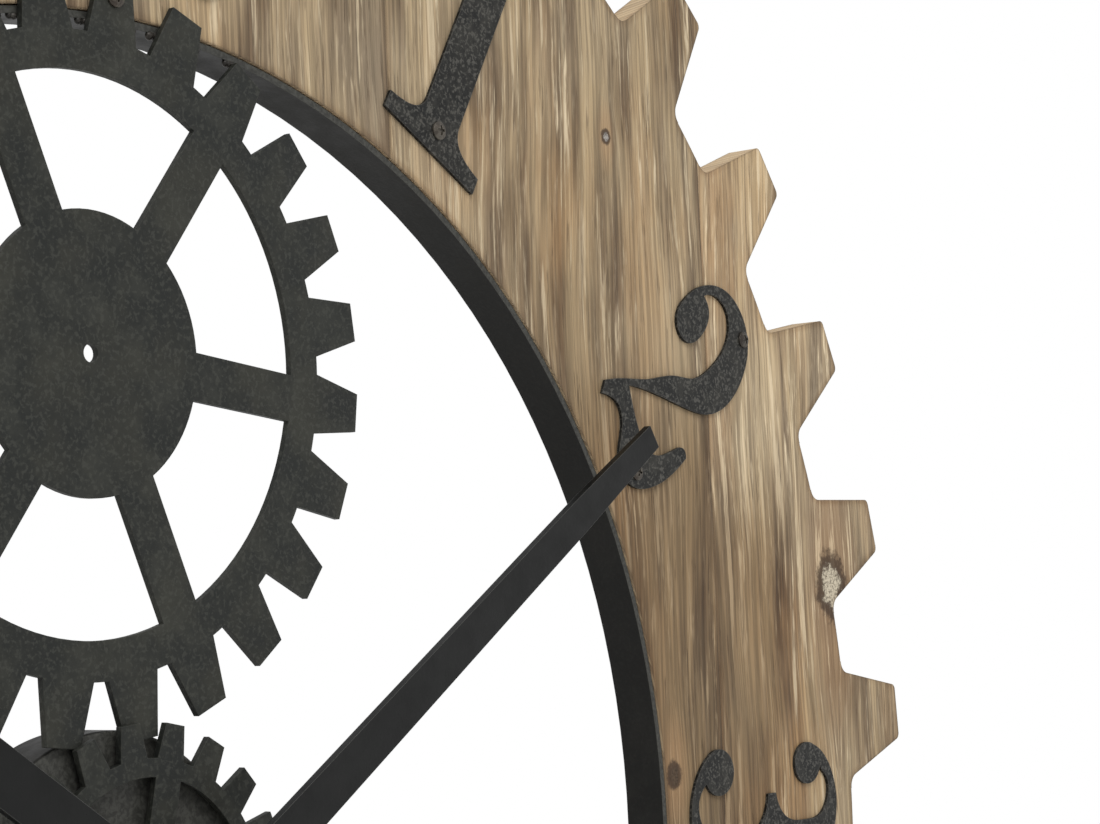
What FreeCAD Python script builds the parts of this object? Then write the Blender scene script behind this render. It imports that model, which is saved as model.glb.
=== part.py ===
import FreeCAD, Part
import math
import os
import re
import Sketcher

# Wooden gear clock for a wall: a toothed ring of fir boards with a steel hoop, open gear plates,
# screwed numerals, two hands and a battery movement.
# Frame: the origin is the hands' axis on the wall plane. X is right, Z is up, Y points into the wall.
# Depths are counted from the wall towards the viewer, so a piece at depth d lies at Y = -d.

# Driving dimensions, in millimetres and degrees, with counts and shares as plain numbers
SIZES = {
    # Wooden ring
    "ring_tip_radius": 400,
    "ring_root_radius": 362,
    "ring_tooth_count": 34,
    "ring_tip_width": 20.5,
    "ring_root_width": 40.5,
    "ring_turn": 0.9,
    "ring_thickness": 12,
    "ring_tip_round": 2.5,
    "ring_notch_round": 5,
    "board_joint": 276,
    "board_width": 166.5,
    "pad_thickness": 5,
    "pad_radius": 10,
    "pad_circle_radius": 330,
    "tooth_bite": 1.5,
    "overrun": 2,
    # Steel hoop and its tabs
    "hoop_inner_radius": 239.5,
    "hoop_thickness": 2,
    "hoop_recess": 0.5,
    "hoop_width": 15,
    "hoop_gap": 0.5,
    "tab_length": 24,
    "tab_width": 14,
    "tab_thickness": 1.5,
    "tab_screw_inset": 9,
    # Gear plates
    "plate_thickness": 2,
    "large_tip_radius": 103.5,
    "large_root_radius": 86.3,
    "large_rim_radius": 75.5,
    "large_hub_radius": 38.3,
    "large_spoke_width": 13.4,
    "large_hole_radius": 2.5,
    "large_tooth_count": 24,
    "large_spoke_count": 6,
    "large_tip_width": 11.3,
    "large_root_width": 17.3,
    "large_centre_x": -14.2,
    "large_centre_z": 149,
    "large_turn": 36.84,
    "lower_tip_radius": 100,
    "lower_root_radius": 83.5,
    "lower_rim_radius": 71.5,
    "lower_hub_radius": 31,
    "lower_spoke_width": 14,
    "lower_hole_radius": 2.5,
    "lower_tooth_count": 22,
    "lower_spoke_count": 5,
    "lower_tip_width": 11.3,
    "lower_root_width": 17.3,
    "lower_centre_distance": 152,
    "lower_direction": 160,
    "lower_turn": 1.54,
    "small_tip_radius": 60,
    "small_root_radius": 46,
    "small_rim_radius": 36,
    "small_hub_radius": 16,
    "small_spoke_width": 10,
    "small_hole_radius": 2.5,
    "small_tooth_count": 14,
    "small_spoke_count": 4,
    "small_tip_width": 9,
    "small_root_width": 14.5,
    "small_centre_distance": 191,
    "small_direction": 213.4,
    "small_turn": 20.54,
    "centre_tip_radius": 51.5,
    "centre_root_radius": 42,
    "centre_rim_radius": 37,
    "centre_hub_radius": 15,
    "centre_spoke_width": 9,
    "centre_tooth_count": 20,
    "centre_spoke_count": 4,
    "centre_tip_width": 6.6,
    "centre_root_width": 9.4,
    "centre_turn": 12,
    # Cup behind the centre gear
    "cup_radius": 50,
    "cup_centre_x": -10,
    "cup_wall": 1,
    "cup_back_gap": 1,
    "cup_round": 1,
    # Screws
    "screw_head_radius": 2.9,
    "screw_head_height": 1.6,
    "screw_shank_radius": 1.5,
    "screw_length": 9,
    "screw_point": 2,
    "screw_turn": 37,
    "screw_hole_gap": 0.05,
    "recess_length": 3.2,
    "recess_width": 0.8,
    "recess_depth": 0.9,
    "plate_screw_inset": 5.6,
    # Numerals
    "numeral_height": 95,
    "numeral_base_radius": 254,
    "numeral_thickness": 1.2,
    "digit_pitch": 54,
    # Keyhole hangers
    "hanger_spacing": 300,
    "hanger_height": 262,
    "hanger_width": 17,
    "hanger_length": 52,
    "hanger_thickness": 1.5,
    "keyhole_radius": 4.75,
    "keyhole_slot_radius": 2.4,
    "keyhole_rise": 11,
    "hanger_screw_inset": 5.5,
    "pocket_depth": 6.5,
    "pocket_width": 12,
    "pocket_length": 26,
    # Movement case
    "case_width": 56,
    "case_wall": 1.4,
    "case_front_wall": 1,
    "case_back_wall": 1.2,
    "case_split": 6,
    "case_corner": 2,
    "bay_wall": 1,
    "fit_gap": 0.05,
    "loose_gap": 0.3,
    # Battery and its contacts
    "cell_radius": 7.1,
    "cell_length": 49.5,
    "cell_nub_radius": 2.75,
    "cell_nub_length": 1,
    "cell_gap": 0.2,
    "contact_thickness": 0.4,
    "contact_width": 9,
    "contact_dimple_radius": 2,
    "spring_radius": 3.5,
    "strip_width": 2,
    "strip_front_gap": 1,
    "strip_height": 3,
    # Bush, nut and washer on the case
    "bush_radius": 4,
    "bush_bore": 2.6,
    "bush_length": 9,
    "bush_flange_radius": 5.5,
    "bush_flange": 0.4,
    "bush_thread_pitch": 0.75,
    "bush_thread_depth": 0.35,
    "nut_flat_width": 12,
    "nut_thickness": 3,
    "washer_radius": 10,
    # Hour wheel, minute arbor and motion work
    "tube_radius": 2.5,
    "arbor_radius": 1.65,
    "arbor_back": 8.4,
    "arbor_thread_radius": 1.35,
    "arbor_thread_length": 2.3,
    "tube_gap": 0.1,
    "pin_radius": 0.5,
    "pin_back": 1.6,
    "motion_distance": 9,
    "motion_direction": 180,
    "knob_direction": 125.4,
    "cannon_teeth": 12,
    "motion_teeth": 36,
    "motion_pinion_teeth": 10,
    "hour_teeth": 40,
    "knob_teeth": 10,
    "motion_post_radius": 0.6,
    "hour_wheel_depth": 13.4,
    "hour_wheel_thickness": 1,
    "motion_wheel_depth": 11.6,
    "motion_wheel_thickness": 1.2,
    "knob_shaft_radius": 1,
    "knob_radius": 4.8,
    "knob_thickness": 2.2,
    "knob_recess": 0.4,
    "knob_notches": 12,
    "knob_well_radius": 6,
    "knob_well_wall": 0.8,
    # Running train
    "train_distance": 10.2,
    "third_direction": 20,
    "second_direction": 90,
    "intermediate_direction": 150,
    "rotor_direction": 175,
    "third_pinion_teeth": 8,
    "centre_wheel_teeth": 60,
    "second_pinion_teeth": 8,
    "third_wheel_teeth": 64,
    "intermediate_pinion_teeth": 10,
    "second_wheel_teeth": 60,
    "rotor_pinion_teeth": 10,
    "intermediate_wheel_teeth": 50,
    "second_distance": 7,
    "rotor_distance": 6,
    "wheel_thickness": 0.9,
    "centre_wheel_depth": 9.3,
    "third_wheel_depth": 6.6,
    "second_wheel_depth": 4.5,
    "intermediate_wheel_depth": 6.5,
    "boss_radius": 1.2,
    "boss_hole_floor": 0.5,
    "back_boss_length": 2.4,
    "centre_wheel_hub": 2.6,
    "magnet_radius": 2.5,
    "magnet_length": 2,
    "magnet_pinion_gap": 0.2,
    # Coil, stator and board
    "stator_thickness": 0.8,
    "stator_depth": 8.6,
    "stator_leg_distance": 18,
    "stator_margin": 4.2,
    "stator_head": 9,
    "stator_low": 6.7,
    "stator_high": 7.9,
    "stator_bar": 2.5,
    "stator_leg": 3,
    "stator_post_distance": 11.5,
    "stator_hole_radius": 3.1,
    "bobbin_wall": 0.5,
    "bobbin_flange": 1,
    "winding_radius": 4,
    "circuit_left": 15,
    "circuit_low": -9,
    "circuit_margin": 0.6,
    "circuit_thickness": 1,
    "crystal_radius": 1,
    "crystal_length": 6,
    "chip_radius": 2.6,
    "chip_height": 0.8,
    # Hands
    "hand_sheet": 0.8,
    "hand_depth": 2.5,
    "minute_hand_length": 244.5,
    "minute_hand_tail": 42,
    "minute_hand_root_width": 13.8,
    "minute_hand_shoulder": 196,
    "minute_hand_shoulder_width": 10.8,
    "minute_hand_tip_width": 8.1,
    "minute_hand_front": 43,
    "minute_hand_angle": 57.5,
    "hour_hand_length": 168,
    "hour_hand_tail": 34,
    "hour_hand_root_width": 15,
    "hour_hand_shoulder": 134,
    "hour_hand_shoulder_width": 13.5,
    "hour_hand_tip_width": 8.2,
    "hour_hand_front": 37.5,
    "hour_hand_angle": 304.8,
    "hand_boss_radius": 11,
    "hand_bush_radius": 4.5,
    "hand_bush_lip": 0.5,
    "hand_bush_flange": 1,
    "cap_radius": 3.6,
    "cap_height": 3,
    "cap_bevel": 0.9,
}

# Shares used by more than one piece
TIP_HALF_SHARE = 0.10
ROOT_HALF_SHARE = 0.30
HEAD_DOME_SHARE = 0.6
ADDENDUM_SHARE = 0.8
DEDENDUM_SHARE = 1.1

# Numeral outlines, in shares of the numeral height: each loop is a list of runs, a run of two points
# is a straight edge and a longer run is a smooth curve, and an ellipse gives centre and half axes
DIGIT_SHARES = {
    "0": {
        "solid": [("ellipse", 0, 0.5, 0.26, 0.5)],
        "hole": [("ellipse", 0, 0.5, 0.105, 0.445)],
        "screws": [(0, 0.972), (0, 0.028)],
    },
    "1": {
        "solid": [("loop", [
            [(-0.245, 0), (0.245, 0)],
            [(0.245, 0), (0.245, 0.062)],
            [(0.245, 0.062), (0.165, 0.075), (0.115, 0.1), (0.088, 0.16)],
            [(0.088, 0.16), (0.088, 1)],
            [(0.088, 1), (0.02, 1)],
            [(0.02, 1), (-0.07, 0.925), (-0.17, 0.885), (-0.25, 0.875)],
            [(-0.25, 0.875), (-0.25, 0.825)],
            [(-0.25, 0.825), (-0.17, 0.835), (-0.088, 0.83)],
            [(-0.088, 0.83), (-0.088, 0.16)],
            [(-0.088, 0.16), (-0.115, 0.1), (-0.165, 0.075), (-0.245, 0.062)],
            [(-0.245, 0.062), (-0.245, 0)],
        ])],
        "hole": [],
        "screws": [(0.005, 0.085), (0, 0.9)],
    },
    "2": {
        "solid": [("loop", [
            [(-0.263, 0.081), (-0.222, 0.172), (-0.141, 0.323), (-0.081, 0.465), (-0.012, 0.576),
             (0.005, 0.697), (-0.01, 0.808), (-0.05, 0.879), (-0.121, 0.914), (-0.192, 0.889),
             (-0.24, 0.81)],
            [(-0.24, 0.81), (-0.16, 0.793), (-0.124, 0.707), (-0.141, 0.616), (-0.202, 0.586),
             (-0.263, 0.616), (-0.288, 0.697), (-0.288, 0.768), (-0.258, 0.869), (-0.182, 0.96),
             (-0.061, 1), (0.051, 0.97), (0.131, 0.874), (0.172, 0.717), (0.146, 0.586),
             (0.061, 0.47), (-0.04, 0.364), (-0.131, 0.263), (-0.182, 0.195)],
            [(-0.182, 0.195), (-0.1, 0.172), (0, 0.157), (0.07, 0.165), (0.116, 0.212),
             (0.141, 0.283), (0.155, 0.345)],
            [(0.155, 0.345), (0.182, 0.369), (0.21, 0.36)],
            [(0.21, 0.36), (0.215, 0.242), (0.192, 0.111), (0.141, 0.02), (0.081, -0.015),
             (0.02, -0.01), (-0.04, 0.04), (-0.101, 0.091), (-0.152, 0.1), (-0.197, 0.076),
             (-0.232, 0.038)],
            [(-0.232, 0.038), (-0.263, 0.081)],
        ])],
        "hole": [],
        "screws": [(0.015, 0.95), (0.1, 0.06)],
    },
    "3": {
        "solid": [
            ("loop", [
                [(-0.235, 0.84), (-0.165, 0.945), (0, 1), (0.15, 0.935), (0.2, 0.78),
                 (0.15, 0.62), (0.05, 0.545)],
                [(0.05, 0.545), (0.19, 0.465), (0.25, 0.275), (0.18, 0.08), (0, 0),
                 (-0.17, 0.05), (-0.255, 0.165)],
                [(-0.255, 0.165), (-0.15, 0.12)],
                [(-0.15, 0.12), (-0.03, 0.05), (0.06, 0.12), (0.09, 0.275), (0.055, 0.43),
                 (-0.07, 0.515)],
                [(-0.07, 0.515), (-0.07, 0.565)],
                [(-0.07, 0.565), (0.03, 0.64), (0.05, 0.775), (0.03, 0.895), (-0.05, 0.945),
                 (-0.13, 0.9)],
                [(-0.13, 0.9), (-0.235, 0.84)],
            ]),
            ("ellipse", -0.165, 0.8, 0.08, 0.09),
            ("ellipse", -0.175, 0.19, 0.085, 0.095),
        ],
        "hole": [],
        "screws": [(0.11, 0.9), (0.15, 0.15)],
    },
    "4": {
        "solid": [("loop", [
            [(-0.31, 0.25), (0.01, 0.25)],
            [(0.01, 0.25), (0.01, 0.15)],
            [(0.01, 0.15), (-0.015, 0.1), (-0.06, 0.075), (-0.13, 0.062)],
            [(-0.13, 0.062), (-0.13, 0)],
            [(-0.13, 0), (0.3, 0)],
            [(0.3, 0), (0.3, 0.062)],
            [(0.3, 0.062), (0.235, 0.075), (0.195, 0.1), (0.17, 0.15)],
            [(0.17, 0.15), (0.17, 0.25)],
            [(0.17, 0.25), (0.29, 0.25)],
            [(0.29, 0.25), (0.29, 0.315)],
            [(0.29, 0.315), (0.17, 0.315)],
            [(0.17, 0.315), (0.17, 1)],
            [(0.17, 1), (0.1, 1)],
            [(0.1, 1), (-0.31, 0.315)],
            [(-0.31, 0.315), (-0.31, 0.25)],
        ])],
        "hole": [("loop", [
            [(-0.225, 0.315), (0.01, 0.315)],
            [(0.01, 0.315), (0.01, 0.7)],
            [(0.01, 0.7), (-0.225, 0.315)],
        ])],
        "screws": [(0.09, 0.9), (0.09, 0.085)],
    },
    "5": {
        "solid": [
            ("loop", [
                [(-0.19, 1), (-0.19, 0.51)],
                [(-0.19, 0.51), (-0.14, 0.49)],
                [(-0.14, 0.49), (-0.04, 0.575), (0.05, 0.51), (0.085, 0.33), (0.06, 0.13),
                 (-0.02, 0.05), (-0.14, 0.1)],
                [(-0.14, 0.1), (-0.245, 0.165)],
                [(-0.245, 0.165), (-0.17, 0.05), (0, 0), (0.18, 0.09), (0.25, 0.32),
                 (0.18, 0.54), (0, 0.63), (-0.13, 0.58)],
                [(-0.13, 0.58), (-0.13, 0.83)],
                [(-0.13, 0.83), (0, 0.815), (0.13, 0.84), (0.22, 1)],
                [(0.22, 1), (0.1, 0.975), (-0.05, 0.98), (-0.19, 1)],
            ]),
            ("ellipse", -0.165, 0.19, 0.085, 0.095),
        ],
        "hole": [],
        "screws": [(0.02, 0.9), (0.15, 0.15)],
    },
    "6": {
        "solid": [
            ("ellipse", 0, 0.3, 0.255, 0.3),
            ("loop", [
                [(-0.254, 0.33), (-0.245, 0.55), (-0.16, 0.83), (0, 0.98), (0.11, 0.995),
                 (0.21, 0.92)],
                [(0.21, 0.92), (0.11, 0.9)],
                [(0.11, 0.9), (0.04, 0.94), (-0.05, 0.86), (-0.09, 0.7), (-0.1, 0.5)],
                [(-0.1, 0.5), (-0.254, 0.33)],
            ]),
            ("ellipse", 0.14, 0.86, 0.08, 0.09),
        ],
        "hole": [("ellipse", 0.005, 0.29, 0.1, 0.235)],
        "screws": [(0.14, 0.86), (0, 0.028)],
    },
    "7": {
        "solid": [("loop", [
            [(-0.25, 1), (-0.19, 0.975), (0, 0.965), (0.19, 0.975), (0.25, 1)],
            [(0.25, 1), (0.25, 0.93)],
            [(0.25, 0.93), (0.13, 0.66), (0.08, 0.38), (0.08, 0)],
            [(0.08, 0), (-0.12, 0)],
            [(-0.12, 0), (-0.1, 0.3), (0, 0.58), (0.15, 0.81)],
            [(0.15, 0.81), (0.02, 0.825), (-0.13, 0.81), (-0.19, 0.73)],
            [(-0.19, 0.73), (-0.25, 0.73)],
            [(-0.25, 0.73), (-0.25, 1)],
        ])],
        "hole": [],
        "screws": [(-0.08, 0.895), (-0.02, 0.07)],
    },
    "8": {
        "solid": [
            ("ellipse", 0, 0.765, 0.21, 0.235),
            ("ellipse", 0, 0.28, 0.255, 0.28),
        ],
        "hole": [
            ("ellipse", 0, 0.775, 0.085, 0.17),
            ("ellipse", 0, 0.27, 0.105, 0.205),
        ],
        "screws": [(0, 0.972), (0, 0.032)],
    },
}

NUMBER_WORDS = ["one", "two", "three", "four", "five", "six", "seven", "eight", "nine", "ten", "eleven",
                "twelve"]

# Places of repeated small pieces, as angles clockwise from the top
TAB_ANGLES = [15, 75, 135, 195, 255, 315]
PAD_ANGLES = [38, 142, 218, 322]

# Teeth of the gear plates that are screwed to the wood, counted clockwise from each plate's turn
SCREWED_TEETH = {"large": [-2, -3, -4], "lower": [9, 10], "small": [7, 8]}

doc = FreeCAD.newDocument("wooden_gear_clock")
sheet = doc.addObject("Spreadsheet::Sheet", "sizes")
for row, (alias, number) in enumerate(SIZES.items(), start=1):
    sheet.set("A%d" % row, alias)
    sheet.set("B%d" % row, str(number))
    sheet.setAlias("B%d" % row, alias)
doc.recompute()

UP = FreeCAD.Vector(0, 0, 1)
INTO_WALL = FreeCAD.Vector(0, 1, 0)
subparts = []


def formula(text):
    """Point each size's name in a formula at its cell of the sheet."""
    return re.sub(r"[a-z_]+", lambda word: "sizes." + word.group() if word.group() in SIZES else word.group(),
                  text)


def value(text):
    """Work out a formula of sheet sizes."""
    return float(sheet.evalExpression(formula(text)))


def bind(item, prop, text):
    """Tie a property to a formula of sheet sizes."""
    item.setExpression(prop, formula(text))


def place(item, x="0", depth="0", z="0", turn=None):
    """Tie a piece's place to formulas: across, out from the wall, up, and a clockwise turn."""
    if turn is None:
        turn = "0"
    item.Placement = FreeCAD.Placement(FreeCAD.Vector(value(x), -value(depth), value(z)),
                                       FreeCAD.Rotation(INTO_WALL, value(turn) if value(turn) else 1))
    bind(item, "Placement.Base.x", x)
    bind(item, "Placement.Base.y", "-(%s)" % depth)
    bind(item, "Placement.Base.z", z)
    bind(item, "Placement.Rotation.Angle", turn)


def keep(item, label):
    """Name a finished piece and put it on the list of sub-parts."""
    item.Label = label
    subparts.append(item)
    return item


def origin_plane(body, role):
    """Find one of a body's own origin planes."""
    return [feature for feature in body.Origin.OriginFeatures if feature.Role == role][0]


def new_body(name):
    """Start a body of sketched features."""
    return doc.addObject("PartDesign::Body", name)


def front_sketch(body, name, level="0"):
    """Add a sketch that looks at the viewer, a level in front of the body's own back plane."""
    sketch = body.newObject("Sketcher::SketchObject", name)
    sketch.AttachmentSupport = [(origin_plane(body, "XZ_Plane"), "")]
    sketch.MapMode = "FlatFace"
    bind(sketch, "AttachmentOffset.Base.z", level)
    return sketch


def add_circle(sketch, radius, x="0", z="0"):
    """Add a circle with a tied radius and centre."""
    centre = FreeCAD.Vector(value(x), value(z), 0)
    index = sketch.addGeometry(Part.Circle(centre, UP, value(radius)), False)
    ties = [
        ("Radius", (index, value(radius)), radius),
        ("DistanceX", (-1, 1, index, 3, value(x)), x),
        ("DistanceY", (-1, 1, index, 3, value(z)), z),
    ]
    for kind, arguments, text in ties:
        number = sketch.addConstraint(Sketcher.Constraint(kind, *arguments))
        bind(sketch, "Constraints[%d]" % number, text)
    return index


def add_polygon(sketch, points):
    """Add a closed outline of straight edges with every corner tied to formulas."""
    corners = [(value(x), value(z)) for x, z in points]
    first = None
    count = len(corners)
    for index in range(count):
        start = FreeCAD.Vector(corners[index][0], corners[index][1], 0)
        finish = corners[(index + 1) % count]
        line = sketch.addGeometry(Part.LineSegment(start, FreeCAD.Vector(finish[0], finish[1], 0)), False)
        first = line if first is None else first
    for index in range(count):
        following = first + (index + 1) % count
        sketch.addConstraint(Sketcher.Constraint("Coincident", first + index, 2, following, 1))
    for index, (x, z) in enumerate(points):
        across = Sketcher.Constraint("DistanceX", -1, 1, first + index, 1, corners[index][0])
        number = sketch.addConstraint(across)
        bind(sketch, "Constraints[%d]" % number, x)
        upward = Sketcher.Constraint("DistanceY", -1, 1, first + index, 1, corners[index][1])
        number = sketch.addConstraint(upward)
        bind(sketch, "Constraints[%d]" % number, z)


def pad(body, sketch, name, length):
    """Raise a sketch towards the viewer by a tied length."""
    feature = body.newObject("PartDesign::Pad", name)
    feature.Profile = sketch
    bind(feature, "Length", length)
    return feature


def pocket(body, sketch, name, length, away=False):
    """Cut a sketch into the body: away from the viewer, or the other way."""
    feature = body.newObject("PartDesign::Pocket", name)
    feature.Profile = sketch
    feature.Reversed = away
    bind(feature, "Length", length)
    return feature


def polar(body, feature, sketch, name, count):
    """Repeat a feature round the body's axis by a tied count."""
    pattern = body.newObject("PartDesign::PolarPattern", name)
    pattern.Originals = [feature]
    pattern.Axis = (sketch, ["N_Axis"])
    pattern.Angle = 360
    bind(pattern, "Occurrences", count)
    body.Tip = pattern
    return pattern


def cylinder(name, radius, length, x="0", depth="0", z="0"):
    """Make a round bar whose front end lies at the given depth and which runs towards the wall."""
    bar = doc.addObject("Part::Cylinder", name)
    bind(bar, "Radius", radius)
    bind(bar, "Height", length)
    bar.Placement = FreeCAD.Placement(FreeCAD.Vector(value(x), -value(depth), value(z)),
                                      FreeCAD.Rotation(FreeCAD.Vector(1, 0, 0), -90))
    bind(bar, "Placement.Base.x", x)
    bind(bar, "Placement.Base.y", "-(%s)" % depth)
    bind(bar, "Placement.Base.z", z)
    return bar


def block(name, left, right, front, back, low, high):
    """Make a box between tied limits: left to right, front depth to back depth, low to high."""
    box = doc.addObject("Part::Box", name)
    bind(box, "Length", "(%s)-(%s)" % (right, left))
    bind(box, "Width", "(%s)-(%s)" % (front, back))
    bind(box, "Height", "(%s)-(%s)" % (high, low))
    bind(box, "Placement.Base.x", left)
    bind(box, "Placement.Base.y", "-(%s)" % front)
    bind(box, "Placement.Base.z", low)
    return box


def fuse(name, parts):
    """Join solids into one."""
    joined = doc.addObject("Part::MultiFuse", name)
    joined.Shapes = parts
    return joined


def cut(name, base, tool):
    """Cut one solid with another."""
    result = doc.addObject("Part::Cut", name)
    result.Base = base
    result.Tool = tool
    return result


def common(name, base, tool):
    """Keep what two solids share."""
    result = doc.addObject("Part::Common", name)
    result.Base = base
    result.Tool = tool
    return result


def shaped(name, shape):
    """Hold a shape that is worked out from the sheet's sizes."""
    item = doc.addObject("Part::Feature", name)
    item.Shape = shape
    item.Placement = FreeCAD.Placement()
    return item


def point(x, depth, z):
    """Turn across, depth and height into a point of the frame."""
    return FreeCAD.Vector(x, -depth, z)


def bar(radius, front, back, x=0, z=0):
    """Make a round bar between two depths, for shapes that are worked out."""
    return Part.makeCylinder(radius, front - back, point(x, front, z), INTO_WALL)


def heading(angle):
    """Give the direction of an angle clockwise from the top."""
    return (math.sin(math.radians(angle)), math.cos(math.radians(angle)))


def polygon_plate(corners, front, back):
    """Make a flat plate between two depths from its corners."""
    vectors = [point(x, front, z) for x, z in corners]
    face = Part.Face(Part.makePolygon(vectors + [vectors[0]]))
    return face.extrude(INTO_WALL * (front - back))


# The wooden ring, glued from upright boards

WOOD_BACK = "pad_thickness"
WOOD_FRONT = "(pad_thickness+ring_thickness)"
PLATE_FRONT = "(pad_thickness+ring_thickness+plate_thickness)"
CENTRE_GEAR_FRONT = "(pad_thickness+ring_thickness+2*plate_thickness)"
HOOP_OUTER = "(hoop_inner_radius+hoop_thickness)"
WOOD_INNER = "(hoop_inner_radius+hoop_thickness+hoop_gap)"


def tooth_points(kind):
    """Give a trapezoid tooth's corners as formulas, sunk a little into the rim."""
    root = "sqrt(%s_root_radius^2-(%s_root_width/2)^2)" % (kind, kind)
    tip = "sqrt(%s_tip_radius^2-(%s_tip_width/2)^2)" % (kind, kind)
    return [
        ("-%s_root_width/2" % kind, "%s-tooth_bite" % root),
        ("%s_root_width/2" % kind, "%s-tooth_bite" % root),
        ("%s_root_width/2" % kind, root),
        ("%s_tip_width/2" % kind, tip),
        ("-%s_tip_width/2" % kind, tip),
        ("-%s_root_width/2" % kind, root),
    ]


def add_round_tooth(sketch):
    """Add the wooden tooth's outline, with rounded tip corners and soft notch corners."""
    root = "sqrt(ring_root_radius^2-(ring_root_width/2)^2)"
    tip = "sqrt(ring_tip_radius^2-(ring_tip_width/2)^2)"
    lean = "((ring_root_width-ring_tip_width)/2)"
    flank = "sqrt(%s^2+(%s-%s)^2)" % (lean, tip, root)
    reach = "sqrt((%s-%s)/(%s+%s))" % (flank, lean, flank, lean)
    tip_reach = "ring_tip_round*%s" % reach
    notch_reach = "ring_notch_round*%s" % reach
    half = [
        ("ring_root_width/2+%s" % notch_reach, "%s-tooth_bite" % root),
        ("ring_root_width/2+%s" % notch_reach, root),
        ("ring_root_width/2-%s*%s/%s" % (notch_reach, lean, flank),
         "%s+%s*(%s-%s)/%s" % (root, notch_reach, tip, root, flank)),
        ("ring_tip_width/2+%s*%s/%s" % (tip_reach, lean, flank),
         "%s-%s*(%s-%s)/%s" % (tip, tip_reach, tip, root, flank)),
        ("ring_tip_width/2-%s" % tip_reach, tip),
    ]
    outline = half + [("-(%s)" % x, z) for x, z in reversed(half)]
    spots = [(value(x), value(z)) for x, z in outline]
    centres = {
        1: (spots[1][0], spots[1][1] + value("ring_notch_round"), "ring_notch_round"),
        3: (spots[4][0], spots[4][1] - value("ring_tip_round"), "ring_tip_round"),
        5: (spots[5][0], spots[5][1] - value("ring_tip_round"), "ring_tip_round"),
        7: (spots[8][0], spots[8][1] + value("ring_notch_round"), "ring_notch_round"),
    }
    count = len(spots)
    ends = []
    for index in range(count):
        start = spots[index]
        finish = spots[(index + 1) % count]
        if index not in centres:
            line = Part.LineSegment(FreeCAD.Vector(start[0], start[1], 0), FreeCAD.Vector(finish[0], finish[1], 0))
            ends.append((sketch.addGeometry(line, False), 1, 2))
            continue
        x, z, radius = centres[index]
        angles = sorted(math.atan2(spot[1] - z, spot[0] - x) for spot in (start, finish))
        if angles[1] - angles[0] > math.pi:
            angles = [angles[1], angles[0] + 2 * math.pi]
        circle = Part.Circle(FreeCAD.Vector(x, z, 0), UP, value(radius))
        arc = Part.ArcOfCircle(circle, angles[0], angles[1])
        number = sketch.addGeometry(arc, False)
        begin = arc.StartPoint.distanceToPoint(FreeCAD.Vector(start[0], start[1], 0))
        swapped = begin > arc.EndPoint.distanceToPoint(FreeCAD.Vector(start[0], start[1], 0))
        ends.append((number, 2, 1) if swapped else (number, 1, 2))
        tie = sketch.addConstraint(Sketcher.Constraint("Radius", number, value(radius)))
        bind(sketch, "Constraints[%d]" % tie, radius)
    for index in range(count):
        edge, _, last = ends[index]
        following, first, _ = ends[(index + 1) % count]
        sketch.addConstraint(Sketcher.Constraint("Coincident", edge, last, following, first))
    for index, (x, z) in enumerate(outline):
        edge, first, _ = ends[index]
        for kind, text, number in (("DistanceX", x, spots[index][0]), ("DistanceY", z, spots[index][1])):
            tie = sketch.addConstraint(Sketcher.Constraint(kind, -1, 1, edge, first, number))
            bind(sketch, "Constraints[%d]" % tie, text)


ring_body = new_body("ring_body")
disc_sketch = front_sketch(ring_body, "ring_disc_sketch")
add_circle(disc_sketch, "ring_root_radius")
add_circle(disc_sketch, WOOD_INNER)
pad(ring_body, disc_sketch, "ring_disc", "ring_thickness")
tooth_sketch = front_sketch(ring_body, "ring_tooth_sketch")
add_round_tooth(tooth_sketch)
tooth = pad(ring_body, tooth_sketch, "ring_tooth", "ring_thickness")
polar(ring_body, tooth, tooth_sketch, "ring_teeth", "ring_tooth_count")
place(ring_body, depth=WOOD_BACK, turn="ring_turn")
doc.recompute()


# Screws: where each one sits, and its shape

def plate_screws(kind):
    """List the places of a gear plate's screws, at the tips of its teeth over the wood."""
    centre_x, centre_z = plate_centre(kind)
    reach = value("%s_tip_radius-plate_screw_inset" % kind)
    places = []
    for tooth_number in SCREWED_TEETH[kind]:
        angle = value("%s_turn" % kind) + 360 * tooth_number / value("%s_tooth_count" % kind)
        across, upward = heading(angle)
        places.append((centre_x + reach * across, centre_z + reach * upward))
    return places


def plate_centre(kind):
    """Give a gear plate's centre."""
    if kind == "large":
        return value("large_centre_x"), value("large_centre_z")
    across, upward = heading(value("%s_direction" % kind))
    distance = value("%s_centre_distance" % kind)
    return distance * across, distance * upward


def numeral_digits(hour):
    """List an hour's digits with their middles, in digit pitches from the numeral's middle."""
    text = str(hour)
    return [(digit, index - (len(text) - 1) / 2) for index, digit in enumerate(text)]


def digit_point(digit, x, z, middle):
    """Turn a share point of a digit into a point of the numeral at the top of the clock."""
    if digit == "9":
        x = -x
        z = 1 - z
    height = value("numeral_height")
    return (middle * value("digit_pitch") + x * height, value("numeral_base_radius") + z * height)


def numeral_screw_places(hour):
    """List the screws of one numeral, as seen at the top of the clock."""
    places = []
    for digit, middle in numeral_digits(hour):
        for x, z in DIGIT_SHARES["6" if digit == "9" else digit]["screws"]:
            places.append(digit_point(digit, x, z, middle))
    return places


def turned(places, angle):
    """Turn places clockwise about the clock's axis."""
    across, upward = heading(angle)
    return [(x * upward + z * across, z * upward - x * across) for x, z in places]


def round_places(angles, radius):
    """List places on a circle about the clock's axis."""
    return [(radius * heading(angle)[0], radius * heading(angle)[1]) for angle in angles]


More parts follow.
